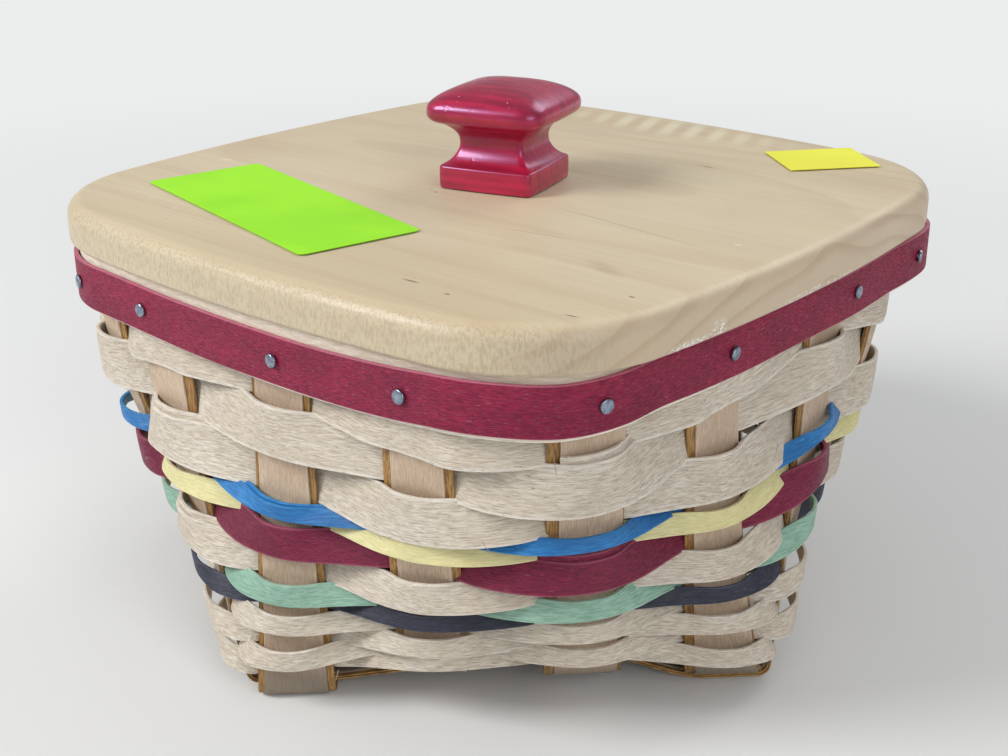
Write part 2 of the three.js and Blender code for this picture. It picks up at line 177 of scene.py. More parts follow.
def objectPlace(tree):
    # a place of the object, counted from the middle of its basket
    place = node(tree, "TexCoord").outputs["Object"]
    return vectors(tree, "SUBTRACT", place, tuple(centring))


def newGroup(name, inputs, outputs):
    group = bpy.data.node_groups.new(name, "ShaderNodeTree")
    for way, sockets in (("INPUT", inputs), ("OUTPUT", outputs)):
        for socket, kind in sockets:
            group.interface.new_socket(name=socket, in_out=way, socket_type="NodeSocket" + kind)
    return group, group.nodes.new("NodeGroupInput").outputs, group.nodes.new("NodeGroupOutput").inputs


def useGroup(tree, group, values):
    return node(tree, "Group", values, node_tree=group).outputs


# Floor, lamps and a pale surround.
studio = {
    "floorSize": 12,
    "floorColour": (0.80, 0.80, 0.79, 1),
    "floorRough": 0.75,
    "farColour": (0.84, 0.845, 0.85, 1),
    "clearFrom": (0.18, 0.75),  # the floor pales between these distances, in metres
    "worldColour": (0.90, 0.92, 0.95, 1),
    "worldStrength": 0.42,
    "aim": (0, 0, 0.06),
    "lamps": [
        # name, place, size, watts
        ("keyLamp", (-0.62, -0.95, 0.86), 0.6, 14.0),
        ("fillLamp", (1.05, -0.40, 0.60), 0.8, 4.6),
        ("backLamp", (0.10, 0.95, 0.95), 0.7, 3.8),
    ],
}


def addFloor(s):
    bpy.ops.mesh.primitive_plane_add(size=s["floorSize"], location=(0, 0, 0))
    floor = bpy.context.object
    floor.name = "floor"
    material, tree = newMaterial("paleFloor")
    near = node(tree, "BsdfPrincipled", {"Base Color": s["floorColour"], "Roughness": s["floorRough"]})
    far = node(tree, "Emission", {"Color": s["farColour"]})
    reach = reachOf(tree, node(tree, "TexCoord").outputs["Object"])
    seen = node(tree, "LightPath").outputs
    either = maths(tree, "MAXIMUM", seen["Is Camera Ray"], seen["Is Glossy Ray"])
    share = times(tree, ramp(tree, reach, *s["clearFrom"]), either)
    both = node(tree, "MixShader", {0: share, 1: near.outputs[0], 2: far.outputs[0]})
    node(tree, "OutputMaterial", {0: both.outputs[0]})
    floor.data.materials.append(material)


def addLamps(s):
    for name, place, size, watts in s["lamps"]:
        bpy.ops.object.light_add(type="AREA", location=place)
        lamp = bpy.context.object
        lamp.name = name
        lamp.data.shape = "DISK"
        lamp.data.size = size
        lamp.data.energy = watts
        aim = Vector(s["aim"]) - Vector(place)
        lamp.rotation_euler = aim.to_track_quat("-Z", "Y").to_euler()


def addWorld(s):
    # a plain world lights the object, and the camera sees a paler one
    world = bpy.data.worlds.new("paleRoom")
    bpy.context.scene.world = world
    world.use_nodes = True
    tree = world.node_tree
    tree.nodes.clear()
    room = node(tree, "Background", {"Color": s["worldColour"], "Strength": s["worldStrength"]})
    sky = node(tree, "Background", {"Color": s["farColour"]})
    seen = node(tree, "LightPath").outputs["Is Camera Ray"]
    both = node(tree, "MixShader", {0: seen, 1: room.outputs[0], 2: sky.outputs[0]})
    node(tree, "OutputWorld", {0: both.outputs[0]})


addFloor(studio)
addLamps(studio)
addWorld(studio)
bpy.context.scene.view_settings.view_transform = "Standard"
print("camera, floor and lamps ready")


# Small helpers for pieces.
def lerp(a, b, share):
    return a + (b - a) * share


def clamp(x, low=0.0, high=1.0):
    return max(low, min(high, x))


def smooth(x):
    x = clamp(x)
    return x * x * (3 - 2 * x)


def along(keys, x):
    # a smooth curve through (place, value) keys
    if x <= keys[0][0]:
        return keys[0][1]
    for n in range(len(keys) - 1):
        (x0, y0), (x1, y1) = keys[n], keys[n + 1]
        if x <= x1:
            slope = (y1 - y0) / (x1 - x0)
            before = (y0 - keys[n - 1][1]) / (x0 - keys[n - 1][0]) if n else 0.0
            after = (keys[n + 2][1] - y1) / (keys[n + 2][0] - x1) if n + 2 < len(keys) else 0.0
            m0 = (before + slope) / 2 if n else 0.0
            m1 = (slope + after) / 2 if n + 2 < len(keys) else 0.0
            u = (x - x0) / (x1 - x0)
            h = x1 - x0
            return (
                y0 * (2 * u**3 - 3 * u**2 + 1)
                + m0 * h * (u**3 - 2 * u**2 + u)
                + y1 * (3 * u**2 - 2 * u**3)
                + m1 * h * (u**3 - u**2)
            )
    return keys[-1][1]


def only(piece):
    # makes one object selected and active, in object mode
    if bpy.context.object and bpy.context.object.mode != "OBJECT":
        bpy.ops.object.mode_set(mode="OBJECT")
    bpy.ops.object.select_all(action="DESELECT")
    piece.select_set(True)
    bpy.context.view_layer.objects.active = piece


def modify(piece, kind, **settings):
    made = piece.modifiers.new(kind.lower(), kind)
    for key, value in settings.items():
        setattr(made, key, value)


def applyAll(piece):
    only(piece)
    for modifier in list(piece.modifiers):
        bpy.ops.object.modifier_apply(modifier=modifier.name)


def editAll():
    bpy.ops.object.mode_set(mode="EDIT")
    bpy.ops.mesh.select_all(action="SELECT")


def facesOut():
    # ends an edit with every face turned outwards
    bpy.ops.mesh.select_all(action="SELECT")
    bpy.ops.mesh.normals_make_consistent(inside=False)
    bpy.ops.object.mode_set(mode="OBJECT")


def shadeSmooth(degrees):
    bpy.ops.object.shade_smooth_by_angle(angle=math.radians(degrees))


def settle(piece, body, slot, replaced, material):
    # the finished piece gets its looks and joins its body
    piece.data.transform(Matrix.Translation(centring))
    if material:
        piece.data.materials.clear()
        piece.data.materials.append(material)
    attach(piece, body)
    if replaced:
        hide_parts(*replaced)


# Wall: the same rounded rim square, turned floor square and easing as the solids, in millimetres.
wall = {
    "uprights": 16,
    "perSide": 4,
    "splintWidth": 18.2,
    "splintThickness": 1.8,
    "splintHalf": 79.95,
    "splintCorner": 27.05,
    "rimSweep": 4.4,
    "floorPitch": 33.6,
    "floorTurn": 43,
    "floorKick": 5.5,
    "floorEdgeKick": 4.2,
    "foldRadius": 2.5,
    "layerGap": 0.3,
    "flare": 1.8,
    "shifts": [[-6.1, -15.4, -10.9, -8.3], [-7.1, -4.7, 5.9, 7.1]],  # of the uprights' heads
    "tackShifts": [[0, 0, 4.3, 0.9], [0, -1.2, 5, 0]],
    "topDip": 2.5,
    "rimBottom": 82.925,
    "rimHeight": 14.4,
    "rowsTop": 86.725,
}
middleIndex = (wall["perSide"] - 1) / 2
floorTop = 2 * wall["splintThickness"] + wall["layerGap"]
floorEdge = middleIndex * wall["floorPitch"] + wall["splintWidth"] / 2
meanKick = wall["floorEdgeKick"] / 2


class RoundedSquare:
    # a square with bowed sides and round corners
    def __init__(self, half, corner, sweep):
        self.half, self.corner, self.sweep = half, corner, math.radians(sweep)
        reach = (half - corner) / (1 + math.sin(self.sweep) - math.cos(self.sweep))
        self.sideRadius = reach + corner
        self.sideLength = 2 * self.sweep * self.sideRadius
        self.cornerAt = math.sin(self.sweep) * reach
        self.cornerLength = (math.pi / 2 - 2 * self.sweep) * corner
        self.quarter = self.sideLength + self.cornerLength

    def at(self, side, distance, offset=0.0):
        past = abs(distance) - self.sideLength / 2
        if past > 0:
            sign = math.copysign(1, distance)
            bend = sign * (self.sweep + past / self.corner)
            centre, radius = (sign * self.cornerAt, -self.cornerAt), self.corner + offset
        else:
            bend = distance / self.sideRadius
            centre, radius = (0.0, self.sideRadius - self.half), self.sideRadius + offset
        x = centre[0] + math.sin(bend) * radius
        y = centre[1] - math.cos(bend) * radius
        turn = side * math.pi / 2
        c, s = math.cos(turn), math.sin(turn)
        return (x * c - y * s, x * s + y * c), bend + turn

    def walk(self, distance, offset=0.0):
        # the point at a distance round the whole outline, from the middle of the front side
        side = math.floor(distance / self.quarter + 0.5)
        return self.at(side % 4, distance - side * self.quarter, offset)


splintRim = RoundedSquare(wall["splintHalf"], wall["splintCorner"], wall["rimSweep"])


def floorTurned(side):
    return math.radians(wall["floorTurn"] - 90) + side * math.pi / 2


def rimPlace(side, index):
    even = (index - middleIndex) * splintRim.quarter / wall["perSide"]
    return even + wall["shifts"][side % 2][index]


def wallPlace(i, across, z):
    # a point across upright i at a height, and the way that the wall runs there
    side, index = divmod(i % wall["uprights"], wall["perSide"])
    turn = floorTurned(side)
    aside = (index - middleIndex) * wall["floorPitch"] + across
    reach = floorEdge + wall["foldRadius"]
    foot = (
        math.cos(turn) * reach - math.sin(turn) * aside,
        math.sin(turn) * reach + math.cos(turn) * aside,
    )
    half = wall["perSide"] // 2
    rimSide, rimIndex = (side, index + half) if index < half else (side + 1, index - half)
    head, headHeading = splintRim.at(rimSide % 4, rimPlace(rimSide, rimIndex) + across)
    level = clamp((z - meanKick) / (wall["rowsTop"] - meanKick))
    ease = 1 - (1 - level) ** wall["flare"]
    footHeading = turn + math.pi / 2
    twist = math.atan2(math.sin(headHeading - footHeading), math.cos(headHeading - footHeading))
    place = (lerp(foot[0], head[0], ease), lerp(foot[1], head[1], ease))
    return place, footHeading + twist * ease


def onWall(i, across, z, offset):
    p, h = wallPlace(i, across, z)
    return Vector((p[0] + math.sin(h) * offset, p[1] - math.cos(h) * offset, z))


def betweenUprights(i, u, z, offset):
    # a share u of the smooth curve from the right side of upright i to the left side of the next
    half = wall["splintWidth"] / 2
    a, ha = wallPlace(i, half, z)
    b, hb = wallPlace(i + 1, -half, z)
    a, b = Vector(a), Vector(b)
    reach = (b - a).length / 3
    c1 = a + Vector((math.cos(ha), math.sin(ha))) * reach
    c2 = b - Vector((math.cos(hb), math.sin(hb))) * reach
    p = a * (1 - u) ** 3 + c1 * 3 * u * (1 - u) ** 2 + c2 * 3 * u * u * (1 - u) + b * u**3
    t = (c1 - a) * (1 - u) ** 2 + (c2 - c1) * 2 * u * (1 - u) + (b - c2) * u * u
    t.normalize()
    return Vector((p.x + t.y * offset, p.y - t.x * offset, z))


uprightShare = wall["splintWidth"] / 2 / wall["floorPitch"]


def atPlace(s, z, offset):
    # a point of the wall at a place counted in uprights
    i = round(s)
    f = s - i
    if abs(f) <= uprightShare:
        return onWall(i, f * wall["floorPitch"], z, offset)
    if f > 0:
        return betweenUprights(i, (f - uprightShare) / (1 - 2 * uprightShare), z, offset)
    return betweenUprights(i - 1, (1 + f - uprightShare) / (1 - 2 * uprightShare), z, offset)


def sway(s, nominal):
    # the rows follow the floor's lifted edge at the bottom and the rim's dip at the top
    wave = math.cos(2 * math.pi * (s - middleIndex) / wall["perSide"])
    low = (meanKick / math.cos(math.pi / 4)) * wave
    return lerp(low, -wall["topDip"] * wave, nominal / wall["rimBottom"])


def bendStrip(name, lengthSteps, widthSteps, place, thickness, edgeRound, levels=1):
    # A flat grid is bent to its place, thickened, its edges eased, and smoothed. place(u, v) gives
    # a point of the middle surface and the strip's own length and width coordinates there
    bpy.ops.mesh.primitive_grid_add(x_subdivisions=lengthSteps, y_subdivisions=widthSteps, size=1)
    strip = bpy.context.object
    strip.name = name
    mesh = strip.data
    flat = [(p.co.x + 0.5, p.co.y + 0.5) for p in mesh.vertices]
    bent = [place(u, v) for u, v in flat]
    rim = mesh.attributes.new("rim", "FLOAT", "POINT")
    for vertex, (point, _), (u, v) in zip(mesh.vertices, bent, flat):
        vertex.co = point * mm
        rim.data[vertex.index].value = abs(2 * v - 1)
    layer = mesh.uv_layers.active
    for loop in mesh.loops:
        layer.data[loop.index].uv = bent[loop.vertex_index][1]
    modify(strip, "SOLIDIFY", thickness=thickness * mm, offset=0, use_quality_normals=True)
    sharp = math.radians(50)
    modify(strip, "BEVEL", width=edgeRound * mm, segments=2, limit_method="ANGLE", angle_limit=sharp)
    if levels:
        modify(strip, "SUBSURF", levels=levels, render_levels=levels)
    applyAll(strip)
    editAll()
    facesOut()
    shadeSmooth(50)
    return strip


def joined(pieces, name):
    only(pieces[0])
    for piece in pieces:
        piece.select_set(True)
    bpy.ops.object.join()
    pieces[0].name = name
    return pieces[0]


# Split wood along a strip: wavy fibres, paler hairs and slow changes of tone.
def fibreGroup():
    tree, given, out = newGroup(
        "splitWoodFibre",
        [("Along", "Vector")],
        [("Fibre", "Float"), ("Hair", "Float"), ("Tone", "Float"), ("Height", "Float")],
    )
    strip = given["Along"]
    slow = noise(tree, strip, 130, (1, 3, 1), 2)
    shift = node(tree, "CombineXYZ", {"Y": times(tree, slow, 0.0011)}).outputs[0]
    wavy = vectors(tree, "ADD", strip, shift)
    fine = noise(tree, wavy, 340, (0.75, 9.5, 1), 4, 0.6)
    ripple = noise(tree, wavy, 620, (0.62, 3.2, 1), 2, 0.5, 0.8)
    fibre = maths(tree, "ADD", times(tree, fine, 0.62), times(tree, ripple, 0.38))
    hair = ramp(tree, noise(tree, wavy, 900, (0.42, 3.4, 1), 2, 0.5), 0.60, 0.72)
    tone = noise(tree, strip, 36, (1, 1.6, 1), 3)
    height = maths(tree, "ADD", times(tree, fibre, 0.8), times(tree, hair, 0.35))
    feed(tree, out["Fibre"], ramp(tree, fibre, 0.42, 0.58))
    feed(tree, out["Hair"], hair)
    feed(tree, out["Tone"], ramp(tree, tone, 0.3, 0.7))
    feed(tree, out["Height"], height)
    return tree


splitWood = fibreGroup()
stripUsual = {
    "hairs": 0.35,
    "edge": 0.35,
    "edgeFrom": (0.945, 0.995),  # the cut edges pale between these shares of the half width
    # painted shade: how strongly the strips darken near the floor, and towards which colour
    "footShade": 0.0,
    "footShadeColour": (0.17, 0.145, 0.11),
    "footShadeFrom": (0.004, 0.016),  # painted shade at the feet fades between these heights, in metres
    "rough": 0.6,
    "roughSpread": 0.08,
    "bump": 0.6,
    "bumpDepth": 0.0005,
    "shine": 0.35,
    "fine": 1.0,  # how much finer the grain is
}


def stripMaterial(name, look):
    # split wood, bare or dyed: darker fibres, paler hairs and cut edges
    plain, second, dark, pale = look["colours"]
    fine, rough, spread = look["fine"], look["rough"], look["roughSpread"]
    material, tree = newMaterial(name)
    uv = node(tree, "UVMap").outputs[0]
    uv = node(tree, "Mapping", {"Vector": uv, "Scale": (fine, fine, 1)}).outputs[0]
    wood = useGroup(tree, splitWood, {"Along": uv})
    rim = node(tree, "Attribute", attribute_name="rim").outputs["Fac"]
    colour = mixed(tree, wood["Tone"], plain, second)
    colour = tinted(tree, colour, wood["Fibre"], look["grain"], dark)
    colour = tinted(tree, colour, wood["Hair"], look["hairs"], pale)
    colour = tinted(tree, colour, ramp(tree, rim, *look["edgeFrom"]), look["edge"], pale)
    # painted shade: the strip is darkened towards the floor, standing in for the shadow at the uprights'
    # feet
    if look["footShade"]:
        height = axes(tree, objectPlace(tree))[2]
        low = ramp(tree, height, *look["footShadeFrom"], look["footShade"], 0.0)
        colour = mixed(tree, low, colour, look["footShadeColour"])
    values = {
        "Base Color": colour,
        "Roughness": ramp(tree, wood["Fibre"], 0, 1, rough - spread, rough + spread),
        "Specular IOR Level": look["shine"],
        "Normal": bumped(tree, wood["Height"], look["bump"], look["bumpDepth"]),
    }
    surface(tree, values)
    return material


stripLooks = {
    # colours: plain, second tone, dark fibres, pale hairs and edges
    "natural": {
        "colours": ((0.72, 0.655, 0.56), (0.64, 0.565, 0.46), (0.46, 0.375, 0.285), (0.88, 0.84, 0.76)),
        "grain": 0.74, "hairs": 0.45, "edge": 0.45, "rough": 0.62, "bump": 0.95, "fine": 1.12,
    },
    # a paler copy of the natural wood, with painted light: it stands in for light on the outer rim strip's
    # face, which lies in the shade under the lid's overhang
    "rimNaturalPaintedLight": {
        "colours": ((0.86, 0.80, 0.68), (0.80, 0.73, 0.60), (0.60, 0.50, 0.38), (0.95, 0.91, 0.82)),
        "grain": 0.5, "hairs": 0.45, "edge": 0.7, "rough": 0.62, "bump": 0.7,
    },
    # the uprights carry painted shade at their feet
    "upright": {
        "colours": ((0.62, 0.485, 0.36), (0.54, 0.41, 0.295), (0.42, 0.295, 0.20), (0.76, 0.66, 0.55)),
        "grain": 0.62, "edge": 0.3, "rough": 0.64, "fine": 1.15, "footShade": 0.8,
    },
    "gold": {
        "colours": ((0.46, 0.26, 0.085), (0.36, 0.19, 0.055), (0.11, 0.05, 0.018), (0.52, 0.33, 0.13)),
        "grain": 0.7, "edge": 0.1, "rough": 0.5, "bump": 0.5,
    },
    "blue": {
        "colours": ((0.018, 0.230, 0.56), (0.008, 0.125, 0.35), (0.006, 0.09, 0.30), (0.07, 0.38, 0.78)),
        "grain": 0.6, "rough": 0.5, "shine": 0.45,
    },
    "yellow": {
        "colours": ((0.76, 0.72, 0.38), (0.70, 0.64, 0.32), (0.58, 0.50, 0.24), (0.86, 0.84, 0.55)),
        "grain": 0.55, "hairs": 0.3,
    },
    "burgundy": {
        "colours": ((0.185, 0.01, 0.042), (0.24, 0.014, 0.055), (0.085, 0.005, 0.022), (0.50, 0.15, 0.22)),
        "grain": 0.7, "hairs": 0.5, "edge": 0.45, "rough": 0.5, "bump": 0.7, "shine": 0.3, "fine": 1.5,
    },
    "green": {
        "colours": ((0.345, 0.545, 0.43), (0.27, 0.45, 0.35), (0.15, 0.29, 0.215), (0.54, 0.71, 0.57)),
        "grain": 0.65, "hairs": 0.5, "rough": 0.58,
    },
    "slate": {
        "colours": ((0.034, 0.038, 0.064), (0.022, 0.024, 0.04), (0.018, 0.018, 0.03), (0.17, 0.18, 0.26)),
        "grain": 0.55, "edge": 0.5, "rough": 0.56, "bump": 0.4,
    },
    "redStrip": {
        "colours": ((0.35, 0.012, 0.062), (0.245, 0.009, 0.046), (0.11, 0.004, 0.024), (0.66, 0.24, 0.33)),
        "grain": 0.75, "hairs": 0.6, "edge": 0.6, "rough": 0.55, "bump": 0.8, "shine": 0.3, "fine": 1.7,
    },
}
finish = {
    name: stripMaterial(name + "Wood", {**stripUsual, **look}) for name, look in stripLooks.items()
}
print("strip materials ready")


# Weavers, closed hoops that bow out over one upright and pass behind the next.
weavers = {
    "thickness": 0.95,
    "edgeRound": 0.16,
    "stations": 14,  # along the strip, for each upright
    "clearance": 0.35,
    "swell": (4.2, 1.9),  # how far the lowest and the highest rows bow out
    "innerSwell": 0.5,
    "bow": [
        # way from outside one upright to inside the next, side of the wall, share of the swell
        (0, 1, 1), (0.15, 1, 0.82), (0.27, 1, 0.36), (0.5, 0, 0.1), (0.73, -1, 0),
    ],
    "upright": (0.7, 0.2),  # share of the wall's lean that a strip doesn't follow, outside and inside
    "turning": (0.55, 0.4),  # where between the two the share changes, and over how much
    "slopeHeights": (8, 80),  # the wall's slope is taken between these heights
    "slopesPerUpright": 4,
    "grainShift": 0.02,  # moves each row's grain along it
    "crossing": (0.09, 0.25, 0.87, 0.2),  # start, rise, end and fall of the tilt between uprights
    "tilt": (1.1, 0.1),  # how far an edge tips in there, and how much more for a wider strip
    "narrowing": 0.94,
    "lapRamp": 0.12,  # in uprights
    "lapDepth": 0.55,  # in thicknesses, each way
    "lapRise": {"blue": 0.4},  # how much higher the inner end of the lap lies
    "usualLapRise": 1.4,
    "firstFront": 14,  # the first of the eight front uprights
    "rows": [
        # From the top down: look, width, rise to the next row, start and length of the lap
        # counted in uprights, and how far the row runs above its even height at the front uprights
        ("natural", 12.7, 10.7, 8.1, 1.9, (0.5, -2.0, -1.0, 1.8, 3.0, -0.6, 1.0, 0)),
        ("natural", 12.0, 10.7, 1.8, 1.25, (1.0, -1.8, -1.0, 2.0, 2.1, 0.4, 1.3, 0.4)),
        ("natural", 11.2, 8.6, 14.1, 1.9, (-0.5, -3.0, -2.4, 0.1, 4.2, -0.9, -2.6, -2.5)),
        ("blue", 3.5, 4.2, 15.1, 1.85, (1.0, -0.2, -3.1, 0.7, 3.4, -1.0, 1.8, 0)),
        ("yellow", 4.8, 4.2, 8.2, 1.8, (-0.5, -2.1, -0.9, 1.8, 4.4, -0.1, 0, -2.5)),
        ("burgundy", 8.1, 6.1, 1.1, 1.9, (0, 0, -1.1, 1.6, 3.3, 0.9, 1.8, 0.4)),
        ("natural", 7.9, 6.1, 14.1, 1.85, (-1.0, -2.5, -2.0, -0.9, 3.3, -0.3, 0.3, -1.5)),
        ("green", 5.5, 4.6, 9.1, 1.8, (-1.0, -1.0, -2.6, 0.3, 3.3, 1.0, 1.5, 0)),
        ("slate", 4.1, 4.2, 6.2, 1.8, (-0.5, -1.5, -1.8, 0.6, 2.4, 1.9, 0, -1.0)),
        ("natural", 4.9, 4.2, 11.1, 1.8, (-1.0, -0.8, -1.5, 0.3, 3.1, 1.4, -1.0, -0.8)),
        ("natural", 5.0, 4.2, 8.1, 1.8, (-0.8, -2.0, -2.4, 0, 1.5, 2.1, -0.6, -1.0)),
        ("natural", 5.0, 4.2, 7.1, 1.8, (-1.0, -0.8, -2.1, 1.4, 1.6, 0.6, -2.0, -0.8)),
        ("natural", 5.0, 4.2, 10.1, 1.8, (-0.8, 0, -2.0, 3.2, 1.0, 0.9, -0.8, 0)),
    ],
}
flatOffset = wall["splintThickness"] / 2 + weavers["clearance"] + weavers["thickness"] / 2


def liftAt(lift, s):
    # the row is level again one upright before and after the front ones
    before = weavers["firstFront"] - 1
    keys = [(before + n, value) for n, value in enumerate((0, *lift, 0))]
    turned = s % wall["uprights"]
    return along(keys, turned if turned > before - 1 else turned + wall["uprights"])


def wallSlope(s, z):
    # how far the wall leans outward, in millimetres for each millimetre of height
    reach = 4
    low, high = atPlace(s, z - reach, 0), atPlace(s, z + reach, 0)
    return max(0.0, (high - low).xy.dot(low.xy.normalized()) / (2 * reach))


def weaveStrip(name, row, over, nominal, underRim):
    look, width, _, start, lap, lift = row
    half = width / 2
    swell = 0.0 if underRim else lerp(*weavers["swell"], nominal / wall["rimBottom"])
    radial = [(q, side * flatOffset + share * swell) for q, side, share in weavers["bow"]]
    radial.append((1, -flatOffset - weavers["innerSwell"]))
    turns = wall["uprights"] + lap
    perUpright = weavers["slopesPerUpright"]
    places = wall["uprights"] * perUpright
    slopeAt = clamp(nominal, *weavers["slopeHeights"])
    slopes = [wallSlope(n / perUpright, slopeAt) for n in range(places)]
    turnsFrom, turnsOver = weavers["turning"]
    begins, rises, ends, falls = weavers["crossing"]
    lapRise = weavers["lapRise"].get(look, weavers["usualLapRise"])

    def place(u, v):
        # q runs from 0 outside an upright to 1 inside the next one, t from edge to edge
        s = start + u * turns
        q = abs((s - over + 1) % 2 - 1)
        t = 2 * v - 1
        n, f = int(s * perUpright // 1) % places, s * perUpright % 1
        slope = lerp(slopes[n], slopes[(n + 1) % places], f)
        share = lerp(*weavers["upright"], smooth((q - turnsFrom) / turnsOver))
        crossing = smooth((q - begins) / rises) * smooth((ends - q) / falls)
        tip = share * slope * half + (weavers["tilt"][0] + weavers["tilt"][1] * half) * crossing
        lean = slope * (1 - share)
        rise = half / math.hypot(1, lean) * lerp(1, weavers["narrowing"], crossing)
        inner = smooth((lap - u * turns) / weavers["lapRamp"] + 0.5)
        outer = smooth((u * turns - wall["uprights"]) / weavers["lapRamp"] + 0.5)
        z = nominal + liftAt(lift, s) + sway(s, nominal) + t * rise + lapRise * inner
        lapped = weavers["thickness"] * weavers["lapDepth"] * (outer - inner)
        offset = along(radial, q) - t * tip + lapped
        grainAt = s * wall["floorPitch"] * mm + nominal * weavers["grainShift"]
        return atPlace(s, z, offset), (grainAt, t * half * mm)

    lengthSteps = round(turns * weavers["stations"])
    return bendStrip(name, lengthSteps, 4, place, weavers["thickness"], weavers["edgeRound"])


rowTop = wall["rowsTop"]
for n, row in enumerate(weavers["rows"]):
    look, rowRise = row[0], row[2]
    nodeName = "weaver_%02d_%s" % (n + 1, look)
    strip = weaveStrip(nodeName + "_strip", row, (n + 1) % 2, rowTop - rowRise / 2, n == 0)
    settle(strip, "basket", look + "_weaver", [nodeName], finish[look])
    rowTop -= rowRise
print("weavers ready")


# Splints: each is laid up of a pale face, two gold-brown layers and a pale back, and runs from one
# upright under the floor to the upright across from it.
splints = {
    "layers": [
        # offset, thickness, width or None for the full width less the steps, look
        (0.66, 0.50, None, "upright"),
        (0.20, 0.42, 18.2, "gold"),
        (-0.26, 0.42, 17.7, "gold"),
        (-0.68, 0.46, 15.6, "upright"),
    ],
    "steps": [
        # how far the pale face stands back from the left and right sides of each upright
        (1.5, 1.7), (2.5, 2.1), (2.8, 0.6), (2.4, 0.6), (1.8, 1.2), (1.6, 1.2), (1.4, 1.9), (2.2, 1.2),
        (1.2, 2.4), (2.3, 1.4), (1.5, 2.0), (2.0, 1.5), (1.4, 2.2), (1.8, 1.6), (1.2, 1.8), (0.7, 3.3),
    ],
    "edgeRound": 0.10,
    "grainShift": 0.7,  # moves each splint's grain along it
    "topDrop": 1.0,
    "wallSteps": 26,
    "wallSpread": 1.5,  # stations stand closer together near the rim
    "foldSteps": 5,
    "floorSteps": 28,
    "levelHalf": 6.5,  # a strip stays level this far from the middle of each one that it crosses
}
layerOffset = (wall["splintThickness"] + wall["layerGap"]) / 2
rimTop = wall["rimBottom"] + wall["rimHeight"]


def splintStations(i):
    # places down one upright, round the fold, across the floor and up the other side. Each gives
    # the point at a distance across the strip and an offset towards its outer face
    side, index = divmod(i, wall["perSide"])
    last = wall["perSide"] - 1
    opposite = (side + 2) % 4 * wall["perSide"] + last - index
    out = Vector((math.cos(floorTurned(side)), math.sin(floorTurned(side)), 0))
    aside = Vector((-out.y, out.x, 0))
    reachAside = (index - middleIndex) * wall["floorPitch"]
    radius = wall["foldRadius"]
    stations = []

    def floorHeight(n):
        layer = layerOffset if (n + index) % 2 == 0 else -layerOffset
        edges = int(n in (0, last)) + int(index in (0, last))
        return (wall["floorKick"], wall["floorEdgeKick"], 0)[edges] + floorTop / 2 + layer

    def upWall(upright, foot, flip):
        for k in range(splints["wallSteps"] + 1):
            share = 1 - (1 - k / splints["wallSteps"]) ** splints["wallSpread"]
            z = lerp(foot, rimTop - splints["topDrop"], share)
            stations.append(lambda d, offset, z=z: onWall(upright, d * flip, z, offset))

    def roundFold(foot, way, steps):
        for k in steps:
            bend = math.pi / 2 * k / splints["foldSteps"]
            spoke = out * way * math.cos(bend) - Vector((0, 0, math.sin(bend)))
            centre = out * way * floorEdge + aside * reachAside + Vector((0, 0, foot))
            stations.append(
                lambda d, offset, c=centre, spoke=spoke: c + aside * d + spoke * (radius + offset)
            )

    firstFoot, lastFoot = floorHeight(last) + radius, floorHeight(0) + radius
    upWall(i, firstFoot, 1)
    stations.reverse()
    roundFold(firstFoot, 1, range(1, splints["foldSteps"]))
    heights = []
    for n in range(last, -1, -1):
        crossed = (middleIndex - n) * wall["floorPitch"]
        heights.append((crossed - splints["levelHalf"], floorHeight(n)))
        heights.append((crossed + splints["levelHalf"], floorHeight(n)))
    for k in range(splints["floorSteps"] + 1):
        reach = lerp(floorEdge, -floorEdge, k / splints["floorSteps"])
        middle = out * reach + aside * reachAside + Vector((0, 0, along(heights, -reach)))
        stations.append(lambda d, offset, m=middle: m + aside * d - Vector((0, 0, offset)))
    roundFold(lastFoot, -1, range(splints["foldSteps"] - 1, 0, -1))
    upWall(opposite, lastFoot, -1)
    return stations, opposite


def layUpSplint(i, name):
    stations, opposite = splintStations(i)
    half = wall["splintWidth"] / 2
    lengths = [0.0]
    for a, b in zip(stations, stations[1:]):
        lengths.append(lengths[-1] + (b(0, 0) - a(0, 0)).length)
    last = len(stations) - 1
    left, right = splints["steps"][i]
    farLeft, farRight = splints["steps"][opposite]
    layers = []
    for offset, thickness, width, look in splints["layers"]:

        def place(u, v):
            k = round(u * last)
            if width:
                d = lerp(-width / 2, width / 2, v)
            else:
                low = lerp(-half + left, -half + farRight, u)
                high = lerp(half - right, half - farLeft, u)
                d = lerp(low, high, v)
            grainAt = lengths[k] * mm + i * splints["grainShift"] + offset
            return stations[k](d, offset), (grainAt, d * mm)

        layer = bendStrip(name + "_layer", last, 6, place, thickness, splints["edgeRound"], 0)
        layer.data.materials.append(finish[look])
        layers.append(layer)
    return joined(layers, name)


for side in range(2):
    for n in range(wall["perSide"]):
        nodeName = "splint_%s%d" % ("ab"[side], n + 1)
        piece = layUpSplint(side * wall["perSide"] + n, nodeName + "_layers")
        settle(piece, "basket", "upright_splint", [nodeName], None)
print("splints ready")


